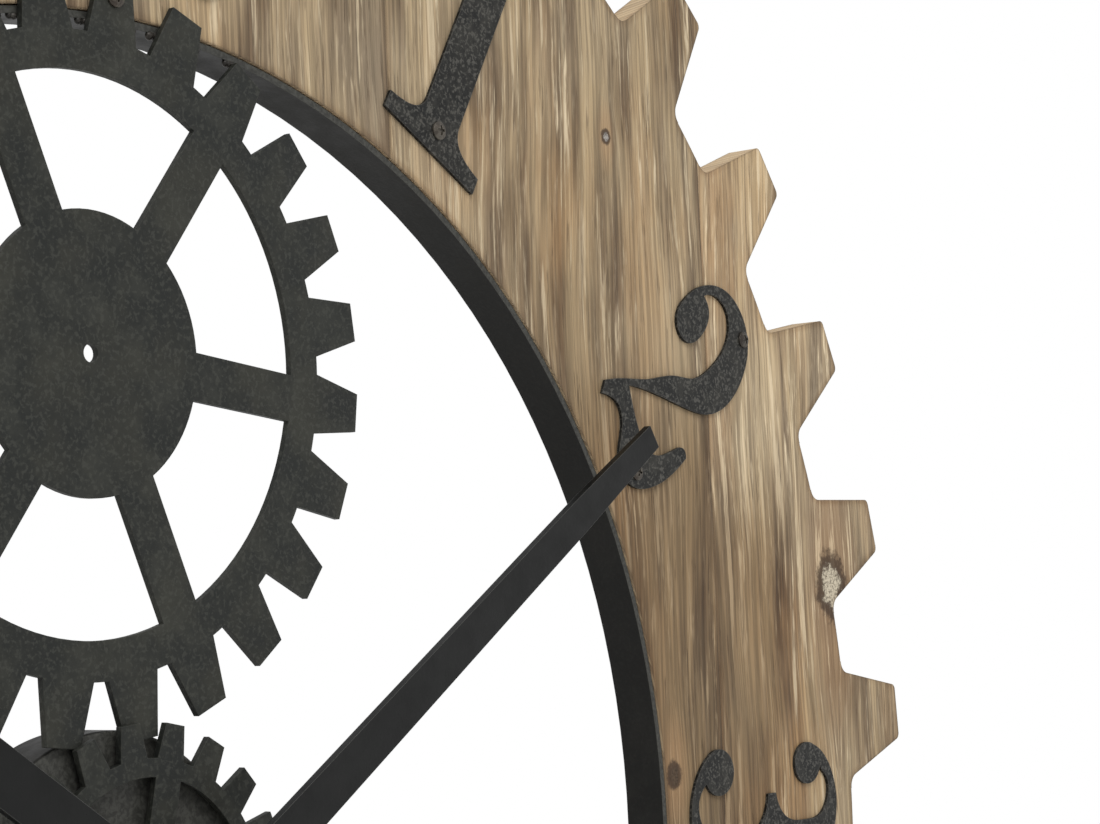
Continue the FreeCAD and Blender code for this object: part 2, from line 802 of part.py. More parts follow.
NUMERAL_SCREWS = []
for hour in range(1, len(NUMBER_WORDS) + 1):
    NUMERAL_SCREWS += turned(numeral_screw_places(hour), 360 * hour / len(NUMBER_WORDS))
PLATE_SCREWS = plate_screws("large") + plate_screws("lower") + plate_screws("small")
TAB_SCREWS = round_places(TAB_ANGLES, value(HOOP_OUTER + "+tab_length-tab_screw_inset"))
HANGER_SCREWS = []
for side in (-1, 1):
    for end in (-1, 1):
        rise = value("hanger_length/2-hanger_screw_inset") * end
        HANGER_SCREWS.append((side * value("hanger_spacing/2"), value("hanger_height") + rise))


def screw():
    """Make one cross-recess screw that sits on depth zero and points to the wall."""
    head_radius = value("screw_head_radius")
    head = value("screw_head_height")
    dome = head * HEAD_DOME_SHARE
    ball = (head_radius ** 2 + dome ** 2) / (2 * dome)
    solid = bar(head_radius, head, 0).common(Part.makeSphere(ball, point(0, head - ball, 0)))
    length = value("screw_length")
    tip = value("screw_point")
    shank = value("screw_shank_radius")
    solid = solid.fuse(bar(shank, 0, tip - length))
    solid = solid.fuse(Part.makeCone(shank, 0, tip, point(0, tip - length, 0), INTO_WALL))
    half_length = value("recess_length/2")
    half_width = value("recess_width/2")
    floor = head - value("recess_depth")
    for half_x, half_z in ((half_length, half_width), (half_width, half_length)):
        corners = [(-half_x, -half_z), (half_x, -half_z), (half_x, half_z), (-half_x, half_z)]
        solid = solid.cut(polygon_plate(corners, head, floor))
    return solid.removeSplitter()


def screws(label, places, seat, from_behind=False):
    """Make a group of screws that sit on one depth."""
    solids = []
    model = screw()
    for index, (x, z) in enumerate(places):
        copy = model.copy()
        spin = FreeCAD.Rotation(INTO_WALL, index * value("screw_turn"))
        facing = FreeCAD.Rotation(UP, 180) if from_behind else FreeCAD.Rotation()
        copy.Placement = FreeCAD.Placement(point(x, seat, z), facing.multiply(spin))
        solids.append(copy)
    return keep(shaped(label, Part.makeCompound(solids)), label)


def screw_holes(name, places, front, back):
    """Make the pilot holes' cores between two depths."""
    radius = value("screw_shank_radius+screw_hole_gap")
    return shaped(name, Part.makeCompound([bar(radius, front, back, x, z) for x, z in places]))


pilot_floor = value(WOOD_FRONT + "+numeral_thickness-screw_length-fit_gap")
plate_floor = value(PLATE_FRONT + "-screw_length-fit_gap")
rear_top = value(WOOD_BACK + "-tab_thickness+screw_length+fit_gap")
wood_front = value(WOOD_FRONT)
wood_back = value(WOOD_BACK)
overrun = value("overrun")
numeral_pilots = screw_holes("numeral_pilots", NUMERAL_SCREWS, wood_front + overrun, pilot_floor)
plate_pilots = screw_holes("plate_pilots", PLATE_SCREWS, wood_front + overrun, plate_floor)
rear_pilots = screw_holes("rear_pilots", TAB_SCREWS + HANGER_SCREWS, rear_top, wood_back - overrun)


def hanger_pockets():
    """Make the routed pockets behind the keyholes."""
    tools = []
    for name, side in (("pocket_left", "-"), ("pocket_right", "")):
        middle = "%shanger_spacing/2" % side
        tools.append(block(name, "%s-pocket_width/2" % middle, "%s+pocket_width/2" % middle,
                           WOOD_BACK + "+pocket_depth", WOOD_BACK + "-overrun",
                           "hanger_height-pocket_length/2", "hanger_height+pocket_length/2"))
    return tools


ring_tools = fuse("ring_tools", [numeral_pilots, plate_pilots, rear_pilots] + hanger_pockets())
ring_wood = cut("ring_wood", ring_body, ring_tools)
LOW = "-(ring_tip_radius+overrun)"
HIGH = "ring_tip_radius+overrun"
BOARDS = [
    ("board_right", "board_joint", HIGH, LOW, HIGH),
    ("board_right_inner", "board_joint-board_width", "board_joint", LOW, HIGH),
    ("board_upper_middle", "board_joint-2*board_width", "board_joint-board_width", "0", HIGH),
    ("board_lower_middle", "board_joint-2*board_width", "board_joint-board_width", LOW, "0"),
    ("board_upper_left", "board_joint-3*board_width", "board_joint-2*board_width", "0", HIGH),
    ("board_lower_left", "board_joint-3*board_width", "board_joint-2*board_width", LOW, "0"),
    ("board_left", LOW, "board_joint-3*board_width", LOW, HIGH),
]
for label, left, right, low, high in BOARDS:
    plank = block(label + "_blank", left, right, WOOD_FRONT + "+overrun", WOOD_BACK + "-overrun", low, high)
    keep(common(label, ring_wood, plank), label)

# Wall pads on the back of the wood
pad_places = round_places(PAD_ANGLES, value("pad_circle_radius"))
pad_solids = [bar(value("pad_radius"), wood_back, 0, x, z) for x, z in pad_places]
keep(shaped("wall_pads", Part.makeCompound(pad_solids)), "wall_pads")

# The steel hoop and the tabs that hold it to the back of the wood
hoop_front = WOOD_FRONT + "-hoop_recess"
hoop_back = "(%s-hoop_width)" % hoop_front
hoop_disc = cylinder("hoop_disc", HOOP_OUTER, "hoop_width", depth=hoop_front)
hoop_bore = cylinder("hoop_bore", "hoop_inner_radius", "hoop_width+2*overrun", depth=hoop_front + "+overrun")
keep(cut("hoop", hoop_disc, hoop_bore), "hoop")


def hoop_tabs():
    """Make the flat tabs, which meet the hoop at their inner ends and lie on the wood."""
    half = value("tab_width/2")
    outer = value(HOOP_OUTER + "+tab_length")
    core = bar(value(HOOP_OUTER + "+fit_gap"), wood_back, 0)
    hole = bar(value("screw_shank_radius+screw_hole_gap"), wood_back, 0, 0,
               value(HOOP_OUTER + "+tab_length-tab_screw_inset"))
    inner = value("hoop_inner_radius-hoop_thickness")
    corners = [(-half, inner), (half, inner), (half, outer), (-half, outer)]
    tab = polygon_plate(corners, wood_back, wood_back - value("tab_thickness")).cut(core).cut(hole)
    tabs = []
    for angle in TAB_ANGLES:
        copy = tab.copy()
        copy.Placement = FreeCAD.Placement(FreeCAD.Vector(), FreeCAD.Rotation(INTO_WALL, angle))
        tabs.append(copy)
    return Part.makeCompound(tabs)


keep(shaped("hoop_tabs", hoop_tabs()), "hoop_tabs")
screws("tab_screws", TAB_SCREWS, value(WOOD_BACK + "-tab_thickness"), True)


# Keyhole hangers over the pockets

def hanger():
    """Make one keyhole plate about the middle of its length."""
    half = value("hanger_width/2")
    rise = value("hanger_length/2")
    front = wood_back
    back = wood_back - value("hanger_thickness")
    plate = polygon_plate([(-half, -rise), (half, -rise), (half, rise), (-half, rise)], front, back)
    slot = value("keyhole_slot_radius")
    lift = value("keyhole_rise/2")
    plate = plate.cut(bar(value("keyhole_radius"), front, back, 0, -lift))
    plate = plate.cut(polygon_plate([(-slot, -lift), (slot, -lift), (slot, lift), (-slot, lift)], front, back))
    plate = plate.cut(bar(slot, front, back, 0, lift))
    for end in (-1, 1):
        spot = end * value("hanger_length/2-hanger_screw_inset")
        plate = plate.cut(bar(value("screw_shank_radius+screw_hole_gap"), front, back, 0, spot))
    return plate


hangers = []
for side in (-1, 1):
    copy = hanger()
    copy.translate(FreeCAD.Vector(side * value("hanger_spacing/2"), 0, value("hanger_height")))
    hangers.append(copy)
keep(shaped("hanger_plates", Part.makeCompound(hangers)), "hanger_plates")
screws("hanger_screws", HANGER_SCREWS, value(WOOD_BACK + "-hanger_thickness"), True)


# Gear plates of sheet steel

def gear_plate(kind, hole):
    """Build an open gear plate: rim, trapezoid teeth, spokes and a hub with a hole."""
    body = new_body("%s_gear_body" % kind)
    rim_sketch = front_sketch(body, "%s_rim_sketch" % kind)
    add_circle(rim_sketch, "%s_root_radius" % kind)
    add_circle(rim_sketch, "%s_rim_radius" % kind)
    pad(body, rim_sketch, "%s_rim" % kind, "plate_thickness")
    outline = front_sketch(body, "%s_tooth_sketch" % kind)
    add_polygon(outline, tooth_points(kind))
    one_tooth = pad(body, outline, "%s_tooth" % kind, "plate_thickness")
    polar(body, one_tooth, outline, "%s_teeth" % kind, "%s_tooth_count" % kind)
    spoke_sketch = front_sketch(body, "%s_spoke_sketch" % kind)
    half = "%s_spoke_width/2" % kind
    inner = "sqrt(%s_hub_radius^2-(%s)^2)-tooth_bite" % (kind, half)
    outer = "%s_rim_radius+tooth_bite" % kind
    add_polygon(spoke_sketch, [("-" + half, inner), (half, inner), (half, outer), ("-" + half, outer)])
    one_spoke = pad(body, spoke_sketch, "%s_spoke" % kind, "plate_thickness")
    polar(body, one_spoke, spoke_sketch, "%s_spokes" % kind, "%s_spoke_count" % kind)
    hub_sketch = front_sketch(body, "%s_hub_sketch" % kind)
    add_circle(hub_sketch, "%s_hub_radius" % kind)
    pad(body, hub_sketch, "%s_hub" % kind, "plate_thickness")
    hole_sketch = front_sketch(body, "%s_hole_sketch" % kind)
    add_circle(hole_sketch, hole)
    pocket(body, hole_sketch, "%s_hole" % kind, "plate_thickness", True)
    return body


def screwed_plate(kind, label):
    """Cut a gear plate's screw holes and keep it as a sub-part."""
    front = value(PLATE_FRONT)
    holes = screw_holes("%s_plate_holes" % kind, plate_screws(kind), front + overrun, wood_front - overrun)
    keep(cut(label, plate_bodies[kind], holes), label)


plate_bodies = {}
for kind in ("large", "lower", "small"):
    plate_bodies[kind] = gear_plate(kind, "%s_hole_radius" % kind)
place(plate_bodies["large"], "large_centre_x", WOOD_FRONT, "large_centre_z", "large_turn")
for kind in ("lower", "small"):
    place(plate_bodies[kind], "%s_centre_distance*sin(%s_direction)" % (kind, kind), WOOD_FRONT,
          "%s_centre_distance*cos(%s_direction)" % (kind, kind), "%s_turn" % kind)
for kind in ("large", "lower", "small"):
    screwed_plate(kind, "%s_gear" % kind)
screws("gear_screws", PLATE_SCREWS, value(PLATE_FRONT))
centre_body = gear_plate("centre", "bush_radius+fit_gap")
place(centre_body, depth=PLATE_FRONT, turn="centre_turn")
keep(centre_body, "centre_gear")

# The round cup that hides the movement, open at the back
cup_body = new_body("cup_body")
cup_sketch = front_sketch(cup_body, "cup_sketch")
add_circle(cup_sketch, "cup_radius", "cup_centre_x")
cup_pad = pad(cup_body, cup_sketch, "cup_pad", WOOD_FRONT + "-cup_back_gap")
doc.recompute()
front_edges = []
for number, edge in enumerate(cup_pad.Shape.Edges, start=1):
    centred = abs(edge.BoundBox.YMax - cup_pad.Shape.BoundBox.YMin) < value("fit_gap")
    if centred:
        front_edges.append("Edge%d" % number)
cup_round = cup_body.newObject("PartDesign::Fillet", "cup_rounding")
cup_round.Base = (cup_pad, front_edges)
bind(cup_round, "Radius", "cup_round")
cup_hollow = front_sketch(cup_body, "cup_hollow_sketch")
add_circle(cup_hollow, "cup_radius-cup_wall", "cup_centre_x")
pocket(cup_body, cup_hollow, "cup_hollow", WOOD_FRONT + "-cup_back_gap-cup_wall", True)
cup_hole = front_sketch(cup_body, "cup_hole_sketch")
add_circle(cup_hole, "bush_radius+fit_gap")
pocket(cup_body, cup_hole, "cup_hole", WOOD_FRONT, True)
place(cup_body, depth="cup_back_gap")
keep(cup_body, "movement_cup")


# The numerals, cut from sheet

def loop_face(digit, runs, middle):
    """Make the face inside a closed outline of straight and curved runs."""
    edges = []
    for run in runs:
        spots = [digit_point(digit, x, z, middle) for x, z in run]
        vectors = [FreeCAD.Vector(x, 0, z) for x, z in spots]
        if len(vectors) == 2:
            edges.append(Part.makeLine(vectors[0], vectors[1]))
        else:
            curve = Part.BSplineCurve()
            curve.interpolate(vectors)
            edges.append(curve.toShape())
    return Part.Face(Part.Wire(edges))


def ellipse_face(digit, x, z, half_x, half_z, middle):
    """Make an elliptical face of a digit."""
    centre = digit_point(digit, x, z, middle)
    height = value("numeral_height")
    origin = FreeCAD.Vector(centre[0], 0, centre[1])
    top = origin + FreeCAD.Vector(0, 0, half_z * height)
    side = origin + FreeCAD.Vector(half_x * height, 0, 0)
    ellipse = Part.Ellipse(top, side, origin)
    return Part.Face(Part.Wire([ellipse.toShape()]))


def digit_plate(digit, middle):
    """Make one digit's flat plate behind depth zero, at the top of the clock."""
    shares = DIGIT_SHARES["6" if digit == "9" else digit]
    solids = {"solid": [], "hole": []}
    for kind, forms in solids.items():
        for form in shares[kind]:
            if form[0] == "ellipse":
                face = ellipse_face(digit, form[1], form[2], form[3], form[4], middle)
            else:
                face = loop_face(digit, form[1], middle)
            forms.append(face.extrude(INTO_WALL * value("numeral_thickness")))
    plate = solids["solid"][0]
    if len(solids["solid"]) > 1:
        plate = plate.fuse(solids["solid"][1:])
    for hole in solids["hole"]:
        plate = plate.cut(hole)
    thickness = value("numeral_thickness")
    for x, z in shares["screws"]:
        spot = digit_point(digit, x, z, middle)
        core = bar(value("screw_shank_radius+screw_hole_gap"), thickness, -thickness - overrun, *spot)
        plate = plate.cut(core)
    return plate.removeSplitter()


for hour, word in enumerate(NUMBER_WORDS, start=1):
    plates = [digit_plate(digit, middle) for digit, middle in numeral_digits(hour)]
    numeral = shaped("numeral_%s" % word, Part.makeCompound(plates))
    place(numeral, depth=WOOD_FRONT + "+numeral_thickness", turn="%d*360/%d" % (hour, len(NUMBER_WORDS)))
    keep(numeral, "numeral_%s" % word)
screws("numeral_screws", NUMERAL_SCREWS, value(WOOD_FRONT + "+numeral_thickness"))

# Movement: the case, in two shells
CASE_FRONT = "(%s-cup_wall)" % WOOD_FRONT
CASE_INSIDE = "(%s-case_front_wall)" % CASE_FRONT
HALF = "(case_width/2)"
INSIDE = "(case_width/2-case_wall)"
BAY_TOP = "(case_wall-case_width/2+2*(cell_radius+cell_gap))"
DIVIDER_TOP = "(%s+bay_wall)" % BAY_TOP
CELL_Z = "(case_wall-case_width/2+cell_radius+cell_gap)"
CELL_DEPTH = "(%s-cell_gap-cell_radius)" % CASE_INSIDE

# Wheel centres about the hands' axis, across and up
MOTION_X = "(motion_distance*cos(motion_direction))"
MOTION_Z = "(motion_distance*sin(motion_direction))"
MOTION_MODULE = "(2*motion_distance/(cannon_teeth+motion_teeth))"
HOUR_MODULE = "(2*motion_distance/(motion_pinion_teeth+hour_teeth))"
KNOB_DISTANCE = "(%s*(motion_teeth+knob_teeth)/2)" % MOTION_MODULE
KNOB_X = "(%s+%s*cos(knob_direction))" % (MOTION_X, KNOB_DISTANCE)
KNOB_Z = "(%s+%s*sin(knob_direction))" % (MOTION_Z, KNOB_DISTANCE)
THIRD_X = "(train_distance*cos(third_direction))"
THIRD_Z = "(train_distance*sin(third_direction))"
CENTRE_MODULE = "(2*train_distance/(centre_wheel_teeth+third_pinion_teeth))"
SECOND_X = "(%s+train_distance*cos(second_direction))" % THIRD_X
SECOND_Z = "(%s+train_distance*sin(second_direction))" % THIRD_Z
THIRD_MODULE = "(2*train_distance/(third_wheel_teeth+second_pinion_teeth))"
MIDDLE_X = "(%s+second_distance*cos(intermediate_direction))" % SECOND_X
MIDDLE_Z = "(%s+second_distance*sin(intermediate_direction))" % SECOND_Z
SECOND_MODULE = "(2*second_distance/(second_wheel_teeth+intermediate_pinion_teeth))"
ROTOR_X = "(%s+rotor_distance*cos(rotor_direction))" % MIDDLE_X
ROTOR_Z = "(%s+rotor_distance*sin(rotor_direction))" % MIDDLE_Z
ROTOR_MODULE = "(2*rotor_distance/(intermediate_wheel_teeth+rotor_pinion_teeth))"
LEG_X = "(%s-stator_leg_distance)" % ROTOR_X
POST_X = "(%s-stator_post_distance)" % ROTOR_X
LOW_BAR = "(%s-stator_low)" % ROTOR_Z
HIGH_BAR = "(%s+stator_high)" % ROTOR_Z
STATOR_FRONT = "(stator_depth+stator_thickness)"

case_blank = block("case_blank", "-" + HALF, HALF, CASE_FRONT, "0", "-" + HALF, HALF)
doc.recompute()
upright_edges = []
for number, edge in enumerate(case_blank.Shape.Edges, start=1):
    if edge.BoundBox.YLength > value("case_wall"):
        upright_edges.append((number, value("case_corner"), value("case_corner")))
case_outline = doc.addObject("Part::Fillet", "case_outline")
case_outline.Base = case_blank
case_outline.Edges = upright_edges
front_upper = block("front_upper", "-" + HALF, HALF, CASE_FRONT, "case_split", "-" + HALF, HALF)
front_bay = block("front_bay", "-" + HALF, HALF, CASE_FRONT, "0", "-" + HALF, DIVIDER_TOP)
front_solid = common("front_solid", fuse("front_join", [front_upper, front_bay]), case_outline)
upper_room = block("upper_room", "-" + INSIDE, INSIDE, CASE_INSIDE, "case_split-overrun", DIVIDER_TOP, INSIDE)
bay_room = block("bay_room", "-" + INSIDE, INSIDE, CASE_INSIDE, "-overrun", "-" + INSIDE, BAY_TOP)
bush_hole = cylinder("bush_hole", "bush_radius+fit_gap", "case_front_wall+2*overrun", depth=CASE_FRONT + "+overrun")
strip_slots = []
for name, near, far in (("slot_left", "-" + INSIDE, "-(%s-contact_thickness-fit_gap)" % INSIDE),
                        ("slot_right", "%s-contact_thickness-fit_gap" % INSIDE, INSIDE)):
    strip_slots.append(block(name, near, far, CASE_INSIDE + "-strip_front_gap+fit_gap",
                             CASE_INSIDE + "-strip_front_gap-strip_width-fit_gap",
                             BAY_TOP + "-bay_wall", DIVIDER_TOP + "+bay_wall"))
front_shell = cut("front_shell", front_solid,
                  fuse("front_rooms", [upper_room, bay_room, bush_hole] + strip_slots))

# Bosses and posts inside the front shell: where each one stands and how far back it reaches
FRONT_BOSSES = [
    ("third_front_boss", THIRD_X, THIRD_Z, "centre_wheel_depth+wheel_thickness+loose_gap*2", "pin_radius"),
    ("second_front_boss", SECOND_X, SECOND_Z, "third_wheel_depth+wheel_thickness+loose_gap*4", "pin_radius"),
    ("middle_front_boss", MIDDLE_X, MIDDLE_Z, "intermediate_wheel_depth+wheel_thickness+loose_gap*2",
     "pin_radius"),
    ("rotor_front_boss", ROTOR_X, ROTOR_Z, "stator_depth+stator_thickness+loose_gap*5", "pin_radius"),
    ("knob_front_boss", KNOB_X, KNOB_Z, "motion_wheel_depth+motion_wheel_thickness+loose_gap*2",
     "pin_radius"),
]
front_pieces = [front_shell]
front_cores = []
for name, x, z, back, radius in FRONT_BOSSES:
    front_pieces.append(cylinder(name, "boss_radius", "%s-(%s)" % (CASE_INSIDE, back), x, CASE_INSIDE, z))
    front_cores.append(cylinder(name + "_hole", radius + "+fit_gap",
                                "%s-boss_hole_floor-(%s)+overrun" % (CASE_INSIDE, back), x,
                                CASE_INSIDE + "-boss_hole_floor", z))
front_pieces.append(cylinder("motion_post", "motion_post_radius",
                             CASE_INSIDE + "-motion_wheel_depth+loose_gap*2", MOTION_X, CASE_INSIDE, MOTION_Z))
for name, z in (("low_stator_post", LOW_BAR + "+stator_bar/2"), ("high_stator_post", HIGH_BAR + "-stator_bar/2")):
    front_pieces.append(cylinder(name, "boss_radius", "%s-%s" % (CASE_INSIDE, STATOR_FRONT), POST_X,
                                 CASE_INSIDE, z))
keep(cut("case_front", fuse("front_with_bosses", front_pieces), fuse("front_holes", front_cores)), "case_front")

back_blank = block("back_blank", "-" + HALF, HALF, "case_split", "0", DIVIDER_TOP, HALF)
back_solid = common("back_solid", back_blank, case_outline)
back_room = block("back_room", "-" + INSIDE, INSIDE, "case_split+overrun", "case_back_wall",
                  DIVIDER_TOP + "+bay_wall", INSIDE)
KNOB_BACK = "knob_recess"
WELL_FLOOR = "(knob_recess+knob_thickness+loose_gap)"
well_outer = cylinder("well_outer", "knob_well_radius", WELL_FLOOR + "+knob_well_wall", KNOB_X,
                      WELL_FLOOR + "+knob_well_wall", KNOB_Z)
well_inner = cylinder("well_inner", "knob_well_radius-knob_well_wall", WELL_FLOOR + "+overrun", KNOB_X,
                      WELL_FLOOR, KNOB_Z)
well_hole = cylinder("well_hole", "knob_shaft_radius+fit_gap", "knob_well_wall+2*overrun", KNOB_X,
                     WELL_FLOOR + "+knob_well_wall+overrun", KNOB_Z)
BACK_BOSSES = [
    ("centre_back_boss", "0", "0"),
    ("third_back_boss", THIRD_X, THIRD_Z),
    ("second_back_boss", SECOND_X, SECOND_Z),
    ("middle_back_boss", MIDDLE_X, MIDDLE_Z),
    ("rotor_back_boss", ROTOR_X, ROTOR_Z),
]
back_pieces = [cut("back_shell", back_solid, back_room), well_outer]
back_cores = [well_inner, well_hole]
for name, x, z in BACK_BOSSES:
    top = "case_back_wall+back_boss_length"
    back_pieces.append(cylinder(name, "boss_radius", "back_boss_length", x, top, z))
    back_cores.append(cylinder(name + "_hole", "pin_radius+fit_gap", "back_boss_length+overrun", x,
                               top + "+overrun", z))
keep(cut("case_back", fuse("back_with_bosses", back_pieces), fuse("back_holes", back_cores)), "case_back")


# Running gear: toothed wheels worked out from tooth counts, modules and meshing phases

def wheel_shape(teeth, module, phase, front, back, x, z):
    """Make a small gear with trapezoid teeth between two depths."""
    pitch = module * teeth / 2
    tip = pitch + ADDENDUM_SHARE * module
    root = pitch - DEDENDUM_SHARE * module
    step = 2 * math.pi / teeth
    corners = []
    for index in range(int(teeth)):
        middle = phase + index * step
        for radius, share in ((root, -ROOT_HALF_SHARE), (tip, -TIP_HALF_SHARE), (tip, TIP_HALF_SHARE),
                              (root, ROOT_HALF_SHARE)):
            angle = middle + share * step
            corners.append((x + radius * math.cos(angle), z + radius * math.sin(angle)))
    return polygon_plate(corners, front, back)


def mesh_phase(from_x, from_z, from_phase, from_teeth, to_x, to_z, to_teeth):
    """Turn a gear so that a gap of it faces the tooth of the gear that it meets."""
    line = math.atan2(to_z - from_z, to_x - from_x)
    gap = line + math.pi - (from_phase - line) * from_teeth / to_teeth
    return gap + math.pi / to_teeth


def spot(x, z):
    """Work out a pair of formulas."""
    return value(x), value(z)


def joined(shapes, cutter=None):
    """Join worked-out solids, then bore them."""
    solid = shapes[0].fuse(shapes[1:]) if len(shapes) > 1 else shapes[0]
    if cutter is not None:
        solid = solid.cut(cutter)
    return solid


centre = (0, 0)
third = spot(THIRD_X, THIRD_Z)
second = spot(SECOND_X, SECOND_Z)
middle = spot(MIDDLE_X, MIDDLE_Z)
rotor = spot(ROTOR_X, ROTOR_Z)
motion = spot(MOTION_X, MOTION_Z)
knob = spot(KNOB_X, KNOB_Z)
case_inside = value(CASE_INSIDE)
pin = value("pin_radius")
floor = value("case_back_wall")
thickness = value("wheel_thickness")
gap = value("loose_gap")
overlap = value("wheel_thickness/3")


def pin_bar(place_xz, front):
    """Make a wheel's pin, from inside its back boss to inside its front boss."""
    return bar(pin, front, value("pin_back"), *place_xz)


front_pin = value(CASE_INSIDE + "-boss_hole_floor-loose_gap")
centre_level = value("centre_wheel_depth")
third_level = value("third_wheel_depth")
second_level = value("second_wheel_depth")
middle_level = value("intermediate_wheel_depth")
centre_back = value("arbor_back")
keep(shaped("centre_wheel", joined(
    [wheel_shape(value("centre_wheel_teeth"), value(CENTRE_MODULE), 0, centre_level + thickness, centre_level,
                 0, 0),
     bar(value("centre_wheel_hub"), centre_level + thickness + gap, centre_back)],
    bar(value("arbor_radius+fit_gap"), case_inside, centre_back - overrun))), "centre_wheel")
third_phase = mesh_phase(0, 0, 0, value("centre_wheel_teeth"), *third, value("third_pinion_teeth"))
third_top = centre_level + thickness + gap
keep(shaped("third_wheel", joined([
    wheel_shape(value("third_wheel_teeth"), value(THIRD_MODULE), 0, third_level + thickness, third_level, *third),
    wheel_shape(value("third_pinion_teeth"), value(CENTRE_MODULE), third_phase, third_top,
                third_level + thickness - overlap, *third),
    pin_bar(third, front_pin)])), "third_wheel")
second_phase = mesh_phase(*third, 0, value("third_wheel_teeth"), *second, value("second_pinion_teeth"))
keep(shaped("second_wheel", joined([
    wheel_shape(value("second_wheel_teeth"), value(SECOND_MODULE), 0, second_level + thickness, second_level,
                *second),
    wheel_shape(value("second_pinion_teeth"), value(THIRD_MODULE), second_phase, third_level + thickness + gap,
                second_level + thickness - overlap, *second),
    pin_bar(second, front_pin)])), "second_wheel")
middle_phase = mesh_phase(*second, 0, value("second_wheel_teeth"), *middle, value("intermediate_pinion_teeth"))
keep(shaped("intermediate_wheel", joined([
    wheel_shape(value("intermediate_wheel_teeth"), value(ROTOR_MODULE), 0, middle_level + thickness,
                middle_level, *middle),
    wheel_shape(value("intermediate_pinion_teeth"), value(SECOND_MODULE), middle_phase, middle_level + overlap,
                second_level - gap, *middle),
    pin_bar(middle, front_pin)])), "intermediate_wheel")
rotor_phase = mesh_phase(*middle, 0, value("intermediate_wheel_teeth"), *rotor, value("rotor_pinion_teeth"))
magnet_back = middle_level + thickness + gap + value("magnet_pinion_gap")
keep(shaped("rotor", joined([
    wheel_shape(value("rotor_pinion_teeth"), value(ROTOR_MODULE), rotor_phase, magnet_back + overlap,
                middle_level - gap, *rotor),
    bar(value("magnet_radius"), magnet_back + value("magnet_length"), magnet_back, *rotor),
    pin_bar(rotor, front_pin)])), "rotor")

# Motion work: minute arbor with its pinion, motion wheel, hour wheel and setting knob
cannon_back = value("motion_wheel_depth")
cannon_front = value("motion_wheel_depth+motion_wheel_thickness")
hand_front = value("minute_hand_front+hand_bush_lip")
thread_front = value("minute_hand_front+hand_bush_lip+arbor_thread_length")
keep(shaped("minute_arbor", joined([
    bar(value("arbor_radius"), hand_front, centre_back),
    bar(value("arbor_thread_radius"), thread_front, hand_front - overlap),
    wheel_shape(value("cannon_teeth"), value(MOTION_MODULE), 0, cannon_front, cannon_back, 0, 0),
    bar(pin, centre_back + overlap, value("pin_back"))])), "minute_arbor")
motion_phase = mesh_phase(0, 0, 0, value("cannon_teeth"), *motion, value("motion_teeth"))
hour_back = value("hour_wheel_depth")
hour_front = value("hour_wheel_depth+hour_wheel_thickness")
motion_top = min(hour_front + gap, case_inside - value("fit_gap"))
keep(shaped("motion_wheel", joined([
    wheel_shape(value("motion_teeth"), value(MOTION_MODULE), motion_phase, cannon_front, cannon_back, *motion),
    wheel_shape(value("motion_pinion_teeth"), value(HOUR_MODULE), 0, motion_top, cannon_front - overlap,
                *motion)],
    bar(value("motion_post_radius+fit_gap"), case_inside, 0, *motion))), "motion_wheel")
hour_phase = mesh_phase(*motion, 0, value("motion_pinion_teeth"), 0, 0, value("hour_teeth"))
tube_front = value("hour_hand_front+hand_bush_lip")
keep(shaped("hour_wheel", joined([
    wheel_shape(value("hour_teeth"), value(HOUR_MODULE), hour_phase, hour_front, hour_back, 0, 0),
    bar(value("tube_radius"), tube_front, hour_back)],
    bar(value("arbor_radius+tube_gap"), tube_front + overrun, hour_back - overrun))), "hour_wheel")
knob_phase = mesh_phase(*motion, motion_phase, value("motion_teeth"), *knob, value("knob_teeth"))


def setting_knob():
    """Make the setting knob: pinion, shaft, front pin and a notched disc in its well."""
    recess = value("knob_recess")
    disc = bar(value("knob_radius"), recess + value("knob_thickness"), recess, *knob)
    notch = value("knob_radius/8")
    for index in range(int(value("knob_notches"))):
        across, upward = heading(360 * index / value("knob_notches"))
        reach = value("knob_radius")
        disc = disc.cut(bar(notch, case_inside, 0, knob[0] + reach * across, knob[1] + reach * upward))
    pinion = wheel_shape(value("knob_teeth"), value(MOTION_MODULE), knob_phase, cannon_front + value("fit_gap"),
                         cannon_back - value("fit_gap"), *knob)
    shaft = bar(value("knob_shaft_radius"), cannon_front, recess, *knob)
    return joined([disc, pinion, shaft, bar(pin, front_pin, cannon_back, *knob)])


keep(shaped("setting_knob", setting_knob()), "setting_knob")

# Stator, coil, circuit board and quartz can
head = [
    (LEG_X + "-stator_leg/2", LOW_BAR), (ROTOR_X + "+stator_margin", LOW_BAR),
    (ROTOR_X + "+stator_margin", HIGH_BAR), (LEG_X + "-stator_leg/2", HIGH_BAR),
    (LEG_X + "-stator_leg/2", HIGH_BAR + "-stator_bar"),
    (ROTOR_X + "-stator_head", HIGH_BAR + "-stator_bar"), (ROTOR_X + "-stator_head", LOW_BAR + "+stator_bar"),
    (LEG_X + "-stator_leg/2", LOW_BAR + "+stator_bar"),
]
stator_body = new_body("stator_body")
stator_sketch = front_sketch(stator_body, "stator_sketch")
add_polygon(stator_sketch, head)
pad(stator_body, stator_sketch, "stator_plate", "stator_thickness")
stator_hole = front_sketch(stator_body, "stator_hole_sketch")
add_circle(stator_hole, "stator_hole_radius", ROTOR_X, ROTOR_Z)
pocket(stator_body, stator_hole, "stator_hole", "stator_thickness", True)
place(stator_body, depth="stator_depth")
leg = block("stator_core", LEG_X + "-stator_leg/2", LEG_X + "+stator_leg/2", STATOR_FRONT, "stator_depth",
            LOW_BAR, HIGH_BAR)
keep(fuse("stator", [stator_body, leg]), "stator")
BOBBIN_LOW = "(%s+stator_bar+fit_gap)" % LOW_BAR
BOBBIN_HIGH = "(%s-stator_bar-fit_gap)" % HIGH_BAR


